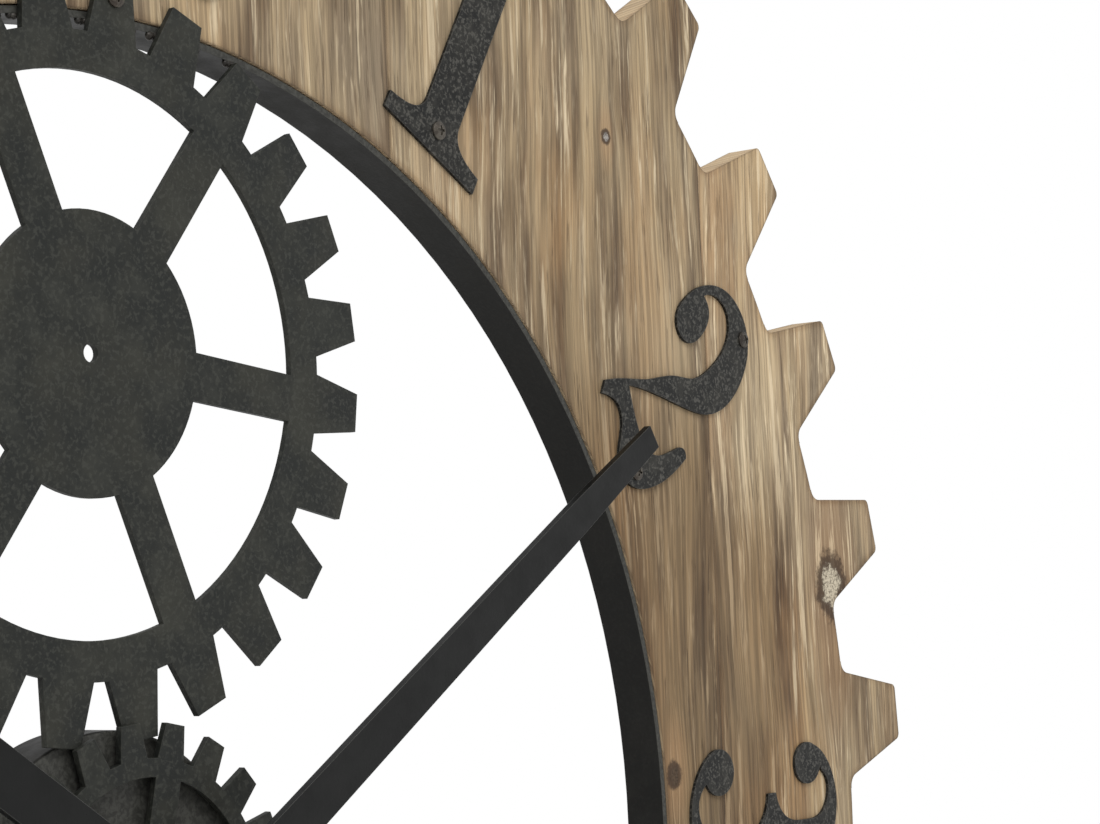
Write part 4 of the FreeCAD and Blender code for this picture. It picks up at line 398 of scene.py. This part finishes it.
@dataclass(frozen=True)
class WoodFinish:
    """Weathered fir of one board."""

    name: str
    seed: float
    tone: float = 1.0
    low_tone: float = 1.0
    shade: Shade | None = None
    knots: tuple[Knot, ...] = ()
    dark: Colour = (0.106, 0.064, 0.033)
    middle: Colour = (0.350, 0.256, 0.145)
    fleck: Colour = (0.66, 0.54, 0.365)
    warm: Colour = (0.37, 0.225, 0.105)
    worn: Colour = (0.41, 0.355, 0.26)
    pore: Colour = (0.075, 0.046, 0.026)
    sawn: Colour = (0.56, 0.43, 0.27)
    sawn_dark: Colour = (0.33, 0.24, 0.15)
    knot_halo: Colour = (0.34, 0.20, 0.10)
    knot_rim: Colour = (0.050, 0.030, 0.018)
    warm_share: float = 0.46
    worn_share: float = 0.34
    fleck_share: float = 0.74
    pore_share: float = 0.55
    corner_share: float = 0.40
    sawn_share: float = 0.8
    halo_share: float = 0.35
    core_share: float = 0.92
    rim_share: float = 0.9
    knot_speck_share: float = 0.34
    reed_dark: float = 0.76
    reed_light: float = 1.20
    specular: float = 0.18
    # Brown multiplied into a 6 mm band along the edges: scorched wood together with painted shade near the
    # tooth corners.
    edge_scorch_and_shade: Colour = (0.50, 0.38, 0.28)
    edge_scorch_and_shade_radius: float = 0.0060
    corner: Colour = (0.12, 0.085, 0.055)
    corner_radius: float = 0.0016
    tone_low: float = 0.03
    tone_high: float = 0.20
    grain_push: float = -0.7
    reed_depth: float = 0.0005
    pore_depth: float = 0.0006

    def material(self, groups: Groups) -> bpy.types.Material:
        """Build the board's material.

        Args:
            groups: The shared node groups.

        Returns:
            The material.
        """
        material, graph, shader = start_material(self.name)
        point = graph.add("ShaderNodeTexCoord").outputs["Object"]
        pushed, marks = self._knots(graph, groups, point)
        masks = graph.placed(groups.grain, Point=pushed, Seed=self.seed)
        reeds, pores, warm, worn = masks[1], masks[3], masks[4], masks[5]
        colour = self._grain(graph, masks)
        colour = self._toned(graph, colour, pushed, warm)
        colour = self._knotted(graph, colour, point, marks)
        colour = self._cut_sides(graph, colour, reeds)
        # Darker, browner band along the edges, broken up by the worn mask: scorched wood with painted shade
        # near the tooth corners.
        edge_scorch_and_shade = graph.placed(groups.edge, Radius=self.edge_scorch_and_shade_radius)[0]
        edge_scorch_and_shade = graph.times(edge_scorch_and_shade, graph.remap(worn, 0.2, 0.8, 0.15, 0.65))
        colour = graph.mix(edge_scorch_and_shade, colour, graph.mix(1.0, colour, self.edge_scorch_and_shade, Blend.MULTIPLY))
        corner, rounded = graph.placed(groups.edge, Radius=self.corner_radius)
        colour = graph.mix(graph.times(corner, self.corner_share), colour, self.corner)
        ridged = graph.bump(reeds, 0.45, self.reed_depth, rounded)
        graph.feed(shader.inputs["Base Color"], colour)
        graph.feed(shader.inputs["Roughness"], graph.remap(worn, 0.0, 1.0, 0.62, 0.82))
        graph.feed(shader.inputs["Specular IOR Level"], self.specular)
        graph.feed(shader.inputs["Normal"], graph.bump(pores, 0.4, self.pore_depth, ridged, inward=True))
        return material

    def _knots(self, graph: Graph, groups: Groups, point: Link) -> tuple:
        """Place the board's knots.

        Args:
            graph: The material's graph helper.
            groups: The shared node groups.
            point: The point on the board.

        Returns:
            The point that the knots push aside for the grain, and each knot with its masks.
        """
        pushed = point
        marks = []
        for knot in self.knots:
            core, rim, halo, push = graph.placed(groups.knot, Point=point, Centre=(knot.x, 0.0, knot.z),
                                                 Radius=knot.radius, Flatten=knot.flatten)
            marks.append((knot, core, rim, halo))
            pushed = graph.shifted(pushed, graph.joined(graph.times(push, self.grain_push)))
        return pushed, marks

    def _grain(self, graph: Graph, masks: bpy.types.bpy_prop_collection) -> bpy.types.NodeSocket:
        """Colour the plain grain.

        Args:
            graph: The material's graph helper.
            masks: The grain group's outputs.

        Returns:
            The colour.
        """
        bands, reeds, flecks, pores, warm, worn = masks
        colour = graph.mix(bands, self.dark, self.middle)
        colour = graph.mix(graph.times(warm, self.warm_share), colour, self.warm)
        colour = graph.mix(graph.times(worn, self.worn_share), colour, self.worn)
        lines = graph.grey(graph.remap(reeds, 0.0, 1.0, self.reed_dark, self.reed_light))
        colour = graph.mix(1.0, colour, lines, Blend.MULTIPLY)
        colour = graph.mix(graph.times(flecks, self.fleck_share), colour, self.fleck)
        return graph.mix(graph.times(pores, self.pore_share), colour, self.pore)

    def _toned(self, graph: Graph, colour: Link, point: Link, warm: Link) -> bpy.types.NodeSocket:
        """Tone the board from top to bottom and brown its shaded part.

        Args:
            graph: The material's graph helper.
            colour: The colour so far.
            point: The point on the board.
            warm: The mask that makes the shade's limit wander.

        Returns:
            The toned colour.
        """
        across, _, height = graph.split(point)
        tone = graph.remap(height, self.tone_low, self.tone_high, self.tone * self.low_tone, self.tone)
        colour = graph.mix(1.0, colour, graph.grey(tone), Blend.MULTIPLY)
        if self.shade is None:
            return colour
        shade = self.shade
        across = graph.plus(across, graph.times(graph.math("SUBTRACT", warm, 0.5), shade.soft))
        left = graph.remap(across, shade.x + shade.soft / 2, shade.x - shade.soft / 2)
        low = graph.remap(height, shade.z + shade.soft, shade.z - shade.soft)
        return graph.mix(graph.times(left, low), colour, graph.mix(1.0, colour, shade.tint, Blend.MULTIPLY))

    def _knotted(self, graph: Graph, colour: Link, point: Link, marks: list) -> bpy.types.NodeSocket:
        """Colour the knots.

        Args:
            graph: The material's graph helper.
            colour: The colour so far.
            point: The point on the board.
            marks: Each knot with its core, rim and halo masks.

        Returns:
            The colour with the knots in it.
        """
        specks = graph.remap(graph.noise(graph.scaled(point, (1, 0, 1)), 900.0, 2.0, 0.7), 0.36, 0.58)
        for knot, core, rim, halo in marks:
            colour = graph.mix(graph.times(halo, self.halo_share), colour, self.knot_halo)
            speck = tuple(self.knot_speck_share * part for part in knot.core)
            spotted = graph.mix(specks, speck, knot.core)
            colour = graph.mix(graph.times(core, self.core_share), colour, spotted)
            colour = graph.mix(graph.times(rim, self.rim_share), colour, self.knot_rim)
        return colour

    def _cut_sides(self, graph: Graph, colour: Link, reeds: Link) -> bpy.types.NodeSocket:
        """Give the sawn sides their paler wood.

        Args:
            graph: The material's graph helper.
            colour: The colour so far.
            reeds: The fine grain mask.

        Returns:
            The colour with sawn sides.
        """
        normal = graph.add("ShaderNodeNewGeometry").outputs["True Normal"]
        side = graph.remap(graph.math("ABSOLUTE", graph.split(normal)[1]), 0.6, 0.3)
        cut = graph.mix(graph.remap(reeds, 0.1, 0.9), self.sawn_dark, self.sawn)
        return graph.mix(graph.times(side, self.sawn_share), colour, cut)


@dataclass(frozen=True)
class MetalFinish:
    """Sheet metal with a mottled skin."""

    name: str
    base: Colour
    # Colour of rubbed wear in patches, specks and on edges; on the hands it is a painted edge highlight.
    worn: Colour
    stain: Colour
    metallic: float = 0.6
    roughness: float = 0.5
    specular: float = 0.5
    patch_strength: float = 0.35
    stain_strength: float = 0.3
    speck_strength: float = 0.2
    hammer: float = 0.0
    edge_radius: float = 0.0005
    edge_strength: float = 0.4
    front_wear: float = 0.0
    scale: float = 1.0
    fine_depth: float = 0.0002
    hammer_depth: float = 0.0006

    def material(self, groups: Groups) -> bpy.types.Material:
        """Build the metal's material.

        Args:
            groups: The shared node groups.

        Returns:
            The material.
        """
        material, graph, shader = start_material(self.name)
        point = graph.add("ShaderNodeTexCoord").outputs["Object"]
        patches, stains, specks, height = graph.placed(groups.mottle, Point=point, Scale=self.scale)
        edge, rounded = graph.placed(groups.edge, Radius=self.edge_radius)
        colour = graph.mix(graph.remap(stains, 0.40, 0.66, 0.0, self.stain_strength), self.base, self.stain)
        colour = graph.mix(graph.remap(patches, 0.42, 0.68, 0.0, self.patch_strength), colour, self.worn)
        colour = graph.mix(graph.remap(specks, 0.50, 0.62, 0.0, self.speck_strength), colour, self.worn)
        if self.front_wear > 0.0:
            normal = graph.add("ShaderNodeNewGeometry").outputs["True Normal"]
            front = graph.remap(graph.split(normal)[1], -0.7, -0.9, 0.0, self.front_wear)
            front = graph.times(front, graph.remap(specks, 0.35, 0.65, 0.45, 1.0))
            colour = graph.mix(front, colour, self.worn)
        # Edges take the worn colour: rubbed wear on the steel pieces, and a painted highlight on the hands.
        colour = graph.mix(graph.times(edge, self.edge_strength), colour, self.worn)
        fine = graph.bump(specks, 0.25, self.fine_depth, rounded)
        graph.feed(shader.inputs["Base Color"], colour)
        graph.feed(shader.inputs["Metallic"], self.metallic)
        graph.feed(shader.inputs["Specular IOR Level"], self.specular)
        graph.feed(shader.inputs["Roughness"],
                   graph.remap(patches, 0.3, 0.7, self.roughness - 0.08, self.roughness + 0.1))
        beaten = graph.bump(height, self.hammer, self.hammer_depth, fine, inward=True)
        graph.feed(shader.inputs["Normal"], beaten)
        return material


@dataclass(frozen=True)
class PlainFinish:
    """Moulded plastic, lacquer or rubber with a fine skin."""

    name: str
    base: Colour
    roughness: float = 0.45
    metallic: float = 0.0
    specular: float = 0.5
    grain: float = 0.1
    edge_radius: float = 0.0003
    grain_depth: float = 0.0002
    scale: float = 2.0

    def material(self, groups: Groups) -> bpy.types.Material:
        """Build the material.

        Args:
            groups: The shared node groups.

        Returns:
            The material.
        """
        material, graph, shader = start_material(self.name)
        point = graph.add("ShaderNodeTexCoord").outputs["Object"]
        mottle = graph.placed(groups.mottle, Point=point, Scale=self.scale)
        rounded = graph.placed(groups.edge, Radius=self.edge_radius)[1]
        tint = tuple(min(1.0, part * 1.25 + 0.004) for part in self.base)
        graph.feed(shader.inputs["Base Color"],
                   graph.mix(graph.remap(mottle[0], 0.35, 0.7, 0.0, 0.5), self.base, tint))
        graph.feed(shader.inputs["Metallic"], self.metallic)
        graph.feed(shader.inputs["Specular IOR Level"], self.specular)
        graph.feed(shader.inputs["Roughness"],
                   graph.remap(mottle[0], 0.3, 0.7, self.roughness - 0.05, self.roughness + 0.08))
        graph.feed(shader.inputs["Normal"], graph.bump(mottle[2], self.grain, self.grain_depth, rounded))
        return material


@dataclass(frozen=True)
class CellFinish:
    """A plain dry cell: a dark sleeve, a pale band and bare metal ends."""

    name: str
    sleeve: Colour = (0.028, 0.034, 0.050)
    band: Colour = (0.42, 0.33, 0.16)
    metal: Colour = (0.55, 0.54, 0.52)
    band_start: float = 0.0115
    metal_start: float = 0.0240
    edge_radius: float = 0.0003
    scale: float = 1.5

    def material(self, groups: Groups) -> bpy.types.Material:
        """Build the cell's material.

        Args:
            groups: The shared node groups.

        Returns:
            The material.
        """
        material, graph, shader = start_material(self.name)
        point = graph.add("ShaderNodeTexCoord").outputs["Object"]
        along = graph.split(point)[0]
        patches = graph.placed(groups.mottle, Point=point, Scale=self.scale)[0]
        colour = graph.mix(graph.math("GREATER_THAN", along, self.band_start), self.sleeve, self.band)
        bare = graph.math("GREATER_THAN", graph.math("ABSOLUTE", along), self.metal_start)
        graph.feed(shader.inputs["Base Color"], graph.mix(bare, colour, self.metal))
        graph.feed(shader.inputs["Metallic"], graph.times(bare, 0.9))
        graph.feed(shader.inputs["Roughness"], graph.remap(patches, 0.3, 0.7, 0.24, 0.38))
        graph.feed(shader.inputs["Normal"], graph.placed(groups.edge, Radius=self.edge_radius)[1])
        return material


def dress(node: str, material: bpy.types.Material) -> None:
    """Give a CAD node's slots a material.

    Args:
        node: The node's name.
        material: The material for all its slots.
    """
    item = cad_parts[node]
    if not item.material_slots:
        item.data.materials.append(material)
    for slot in item.material_slots:
        slot.material = material


def dress_all(plan: list[tuple], groups: Groups) -> None:
    """Dress several groups of nodes, each in one finish.

    Args:
        plan: Pairs of a finish and the names of the nodes that wear it.
        groups: The shared node groups.
    """
    for finish, nodes in plan:
        material = finish.material(groups)
        for node in nodes:
            dress(node, material)
        LOG.info("dressed %d pieces in %s", len(nodes), finish.name)


@dataclass
class WoodRing:
    """The toothed ring of seven boards."""

    boards: dict[str, WoodFinish] = field(default_factory=lambda: {
        "board_right": WoodFinish("fir right", 3.1, 1.14, 0.82, Shade(0.318, 0.112), (
            Knot(0.3542, 0.0805, 0.0070, 0.78, (0.52, 0.46, 0.35)),)),
        "board_right_inner": WoodFinish("fir right inner", 7.7, 0.88, 0.96, Shade(0.326, 0.150), (
            Knot(0.2214, 0.2362, 0.0017, 0.9, (0.30, 0.28, 0.26)), Knot(0.2466, 0.0178, 0.0030, 0.9))),
        "board_upper_middle": WoodFinish("fir upper middle", 12.4, 0.90, knots=(
            Knot(0.012, 0.300, 0.0030),)),
        "board_lower_middle": WoodFinish("fir lower middle", 15.9, 0.96, knots=(
            Knot(0.060, -0.300, 0.0042),)),
        "board_upper_left": WoodFinish("fir upper left", 21.3, 0.95, knots=(
            Knot(-0.158, 0.296, 0.0034),)),
        "board_lower_left": WoodFinish("fir lower left", 25.8, 0.88, knots=(
            Knot(-0.170, -0.250, 0.0038),)),
        "board_left": WoodFinish("fir left", 31.2, 0.98, knots=(
            Knot(-0.330, -0.060, 0.0046),)),
    })

    def dress(self, groups: Groups) -> None:
        """Dress every board.

        Args:
            groups: The shared node groups.
        """
        for node, finish in self.boards.items():
            dress(node, finish.material(groups))
            LOG.info("dressed %s", node)


@dataclass
class SteelWork:
    """Hoop, gear plates, cup, numerals and screws."""

    dark: MetalFinish = MetalFinish(
        "charcoal plate", (0.0105, 0.0118, 0.0105), (0.050, 0.051, 0.043), (0.034, 0.033, 0.024),
        metallic=0.15, roughness=0.55, specular=0.19, patch_strength=0.36, stain_strength=0.5,
        speck_strength=0.42, hammer=0.08, edge_radius=0.0004, edge_strength=0.45)
    hammered: MetalFinish = MetalFinish(
        "hammered numeral", (0.0050, 0.0052, 0.0048), (0.076, 0.073, 0.064), (0.017, 0.016, 0.013),
        metallic=0.1, roughness=0.5, specular=0.15, patch_strength=0.30, stain_strength=0.4,
        speck_strength=0.70, hammer=0.25, edge_radius=0.0004, edge_strength=0.8, scale=1.25)
    black: MetalFinish = MetalFinish(
        "blackened hoop", (0.0075, 0.0072, 0.0064), (0.085, 0.085, 0.075), (0.014, 0.013, 0.011),
        metallic=0.05, roughness=0.45, specular=0.13, patch_strength=0.04, stain_strength=0.3,
        speck_strength=0.03, edge_radius=0.0005, edge_strength=0.75, front_wear=0.55)
    screw: MetalFinish = MetalFinish(
        "screw head", (0.028, 0.024, 0.020), (0.15, 0.135, 0.11), (0.050, 0.030, 0.018),
        metallic=0.5, roughness=0.42, specular=0.4, patch_strength=0.4, speck_strength=0.3,
        edge_radius=0.0003, edge_strength=0.5)
    bright: MetalFinish = MetalFinish(
        "plated steel", (0.46, 0.46, 0.45), (0.62, 0.62, 0.60), (0.38, 0.37, 0.34),
        metallic=0.95, roughness=0.3, patch_strength=0.2, speck_strength=0.1, edge_radius=0.0002)

    def dress(self, groups: Groups) -> None:
        """Dress the steel pieces.

        Args:
            groups: The shared node groups.
        """
        words = "one two three four five six seven eight nine ten eleven twelve".split()
        dress_all([
            (self.dark, ["large_gear", "lower_gear", "small_gear", "centre_gear"]),
            (self.hammered, [f"numeral_{word}" for word in words]),
            (self.black, ["hoop", "hoop_tabs", "movement_cup"]),
            (self.screw, ["numeral_screws", "gear_screws", "tab_screws", "hanger_screws"]),
            (self.bright, ["hanger_plates", "hex_nut", "spacer_washer", "stator", "rotor", "minute_arbor",
                           "contact_positive", "contact_negative", "quartz_crystal"]),
        ], groups)


@dataclass(frozen=True)
class ToothedPlate:
    """The teeth of one gear plate, in metres and degrees clockwise from up."""

    x: float
    z: float
    tip: float
    root: float
    tip_width: float
    root_width: float
    count: int
    turn: float
    steps: int = 60

    def crossings(self, radius: float) -> list[tuple[float, float]]:
        """Find where the teeth's side edges cross a circle about the clock's middle.

        Args:
            radius: The circle's radius.

        Returns:
            The crossing points as x and z.
        """
        found: list[tuple[float, float]] = []
        for tooth in range(self.count):
            angle = math.radians(self.turn + 360.0 * tooth / self.count)
            for side in (-1.0, 1.0):
                before = None
                for step in range(self.steps + 1):
                    share = step / self.steps
                    reach = self.root + share * (self.tip - self.root)
                    half = side * (self.root_width + share * (self.tip_width - self.root_width)) / 2
                    x = self.x + reach * math.sin(angle) + half * math.cos(angle)
                    z = self.z + reach * math.cos(angle) - half * math.sin(angle)
                    over = math.hypot(x, z) - radius
                    if before is not None and before < 0.0 <= over:
                        found.append((x, z))
                    before = over
        return found


@dataclass
class WeldBeads:
    """Small weld beads where the gear plates meet the hoop."""

    hoop_radius: float = 0.2391
    depth: float = -0.0160
    bead: float = 0.0013
    drops: int = 4
    drop_step: float = 0.85
    wander: float = 0.0003
    flatness: float = 0.8
    seed: int = 11
    finish: MetalFinish = MetalFinish(
        "weld bead", (0.013, 0.0125, 0.011), (0.11, 0.10, 0.085), (0.035, 0.026, 0.018), metallic=0.4,
        roughness=0.45, specular=0.35, stain_strength=0.5, edge_radius=0.0003, edge_strength=0.3)
    plates: tuple[ToothedPlate, ...] = (
        ToothedPlate(-0.0142, 0.149, 0.1035, 0.0863, 0.0113, 0.0173, 24, 36.84),
        ToothedPlate(0.05199, -0.14283, 0.100, 0.0835, 0.0113, 0.0173, 22, 1.54),
        ToothedPlate(-0.10514, -0.15945, 0.060, 0.046, 0.009, 0.0145, 14, 20.54),
    )

    def build(self) -> bpy.types.Object:
        """Make the beads as one piece that rides on the frame.

        Returns:
            The piece.
        """
        chance = random.Random(self.seed)
        shape = bmesh.new()
        for plate in self.plates:
            for x, z in plate.crossings(self.hoop_radius):
                around = math.atan2(x, z)
                for drop in range(self.drops):
                    along = (drop - (self.drops - 1) / 2) * self.drop_step * self.bead
                    angle = around + along / self.hoop_radius
                    reach = self.hoop_radius - self.bead * chance.uniform(0.0, 0.35)
                    size = self.bead * chance.uniform(0.75, 1.1)
                    depth = self.depth + chance.uniform(-self.wander, self.wander)
                    place = Vector((reach * math.sin(angle), depth, reach * math.cos(angle)))
                    scale = Matrix.Diagonal((size, size * self.flatness, size, 1.0))
                    bmesh.ops.create_icosphere(shape, subdivisions=2, radius=1.0,
                                               matrix=Matrix.Translation(place) @ scale)
        for face in shape.faces:
            face.smooth = True
        mesh = bpy.data.meshes.new("weld_beads")
        shape.to_mesh(mesh)
        shape.free()
        piece = bpy.data.objects.new("weld_beads", mesh)
        bpy.context.scene.collection.objects.link(piece)
        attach(piece, "clock_frame")
        return piece

    def dress(self, groups: Groups) -> None:
        """Build and dress the beads.

        Args:
            groups: The shared node groups.
        """
        piece = self.build()
        piece.data.materials.append(self.finish.material(groups))
        LOG.info("added the weld beads")


@dataclass
class Hands:
    """Both hands, their bushes and the cap."""

    # Black lacquer; its pale second colour is mixed in only along the edges, as a painted highlight of light
    # on the hands' rolled edges.
    lacquer_and_edge_highlight: MetalFinish = MetalFinish(
        "hand lacquer", (0.0042, 0.0044, 0.0042), (0.13, 0.13, 0.12), (0.006, 0.0064, 0.006),
        metallic=0.0, roughness=0.34, specular=0.12, patch_strength=0.0, stain_strength=0.4,
        speck_strength=0.0, edge_radius=0.0003, edge_strength=0.65)
    brass: MetalFinish = MetalFinish(
        "hand bush", (0.50, 0.36, 0.14), (0.62, 0.48, 0.24), (0.40, 0.27, 0.10),
        metallic=0.95, roughness=0.32, patch_strength=0.2, speck_strength=0.1, edge_radius=0.0002)

    def dress(self, groups: Groups) -> None:
        """Dress the hands.

        Args:
            groups: The shared node groups.
        """
        dress_all([
            (self.lacquer_and_edge_highlight, ["minute_hand", "hour_hand", "hand_cap_nut"]),
            (self.brass, ["minute_hand_bush", "hour_hand_bush", "threaded_bush"]),
        ], groups)


@dataclass
class Movement:
    """The battery movement and the back's small pieces."""

    case: PlainFinish = PlainFinish("movement case", (0.014, 0.014, 0.015), 0.5, specular=0.35, grain=0.25)
    wheels: PlainFinish = PlainFinish("white wheel", (0.70, 0.69, 0.65), 0.4)
    copper: MetalFinish = MetalFinish(
        "copper winding", (0.42, 0.14, 0.05), (0.60, 0.26, 0.10), (0.30, 0.09, 0.03), metallic=0.8,
        roughness=0.35)
    board: PlainFinish = PlainFinish("circuit board", (0.02, 0.12, 0.045), 0.35)
    cell: CellFinish = CellFinish("cell jacket")
    pad: PlainFinish = PlainFinish("felt pad", (0.04, 0.038, 0.036), 0.9, grain=0.6)

    def dress(self, groups: Groups) -> None:
        """Dress the movement.

        Args:
            groups: The shared node groups.
        """
        dress_all([
            (self.case, ["case_front", "case_back"]),
            (self.wheels, ["centre_wheel", "third_wheel", "second_wheel", "intermediate_wheel",
                           "motion_wheel", "hour_wheel", "setting_knob", "coil_bobbin"]),
            (self.copper, ["coil_winding"]),
            (self.board, ["circuit_board"]),
            (self.cell, ["battery"]),
            (self.pad, ["wall_pads"]),
        ], groups)


@dataclass(frozen=True)
class Lamp:
    """One soft square lamp that faces the clock's middle."""

    name: str
    place: Point
    size: float
    power: float

    def build(self) -> None:
        """Hang the lamp."""
        data = bpy.data.lights.new(self.name, "AREA")
        data.size = self.size
        data.energy = self.power
        item = bpy.data.objects.new(self.name, data)
        item.location = self.place
        item.rotation_euler = Vector(self.place).to_track_quat("Z", "Y").to_euler()
        bpy.context.scene.collection.objects.link(item)


@dataclass
class Studio:
    """Camera, light and floor."""

    image: tuple[int, int] = (1100, 824)
    position: Point = (-0.450733, -0.509660, 0.080818)
    yaw: float = 0.9110611
    pitch: float = 0.0742343
    roll: float = -0.0381165
    focal_px: float = 2465.745
    sensor: float = 36.0
    nearest: float = 0.01
    floor_level: float = -0.52
    floor_size: float = 3.0
    ambient: float = 0.75
    white: Colour = (1.0, 1.0, 1.0)
    pale: PlainFinish = PlainFinish("pale floor", (0.85, 0.85, 0.84), 0.7)
    lamps: tuple[Lamp, ...] = (
        Lamp("key", (-0.9, -1.5, 2.2), 1.5, 52.0),
        Lamp("fill", (1.6, -1.8, 0.3), 2.0, 10.0),
    )

    def camera(self) -> None:
        """Place the camera where the photograph was taken from."""
        scene = bpy.context.scene
        scene.render.resolution_x, scene.render.resolution_y = self.image
        data = bpy.data.cameras.new("camera")
        data.sensor_width = self.sensor
        data.lens = self.focal_px * self.sensor / self.image[0]
        data.clip_start = self.nearest
        forward = Vector((math.sin(self.yaw) * math.cos(self.pitch),
                          math.cos(self.yaw) * math.cos(self.pitch), math.sin(self.pitch)))
        level = Vector((math.cos(self.yaw), -math.sin(self.yaw), 0.0))
        above = level.cross(forward)
        right = math.cos(self.roll) * level + math.sin(self.roll) * above
        upward = -math.sin(self.roll) * level + math.cos(self.roll) * above
        item = bpy.data.objects.new("camera", data)
        turn = Matrix((right, upward, -forward)).transposed()
        item.matrix_world = Matrix.Translation(Vector(self.position)) @ turn.to_4x4()
        scene.collection.objects.link(item)
        scene.camera = item

    def light(self) -> None:
        """Light the clock softly, with white behind it."""
        scene = bpy.context.scene
        world = bpy.data.worlds.new("white room")
        scene.world = world
        world.use_nodes = True
        world.node_tree.nodes.clear()
        graph = Graph(world.node_tree)
        seen = graph.add("ShaderNodeLightPath").outputs["Is Camera Ray"]
        strength = graph.remap(seen, 0.0, 1.0, self.ambient, 1.0)
        room = graph.add("ShaderNodeBackground", None, Color=self.white, Strength=strength)
        output = graph.add("ShaderNodeOutputWorld")
        graph.feed(output.inputs[0], room.outputs[0])
        for lamp in self.lamps:
            lamp.build()
        scene.view_settings.view_transform = "Standard"

    def floor(self, groups: Groups) -> None:
        """Lay a pale floor well below the clock.

        Args:
            groups: The shared node groups.
        """
        half = self.floor_size / 2
        mesh = bpy.data.meshes.new("floor")
        corners = [(-half, -half, self.floor_level), (half, -half, self.floor_level),
                   (half, half, self.floor_level), (-half, half, self.floor_level)]
        mesh.from_pydata(corners, [], [(0, 1, 2, 3)])
        mesh.materials.append(self.pale.material(groups))
        item = bpy.data.objects.new("floor", mesh)
        bpy.context.scene.collection.objects.link(item)


def main() -> None:
    """Dress the clock and set the studio."""
    logging.basicConfig(level=logging.INFO, format="%(message)s")
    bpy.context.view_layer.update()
    studio = Studio()
    studio.camera()
    groups = Groups()
    WoodRing().dress(groups)
    SteelWork().dress(groups)
    WeldBeads().dress(groups)
    Hands().dress(groups)
    Movement().dress(groups)
    studio.light()
    studio.floor(groups)


if __name__ == "__main__":
    main()
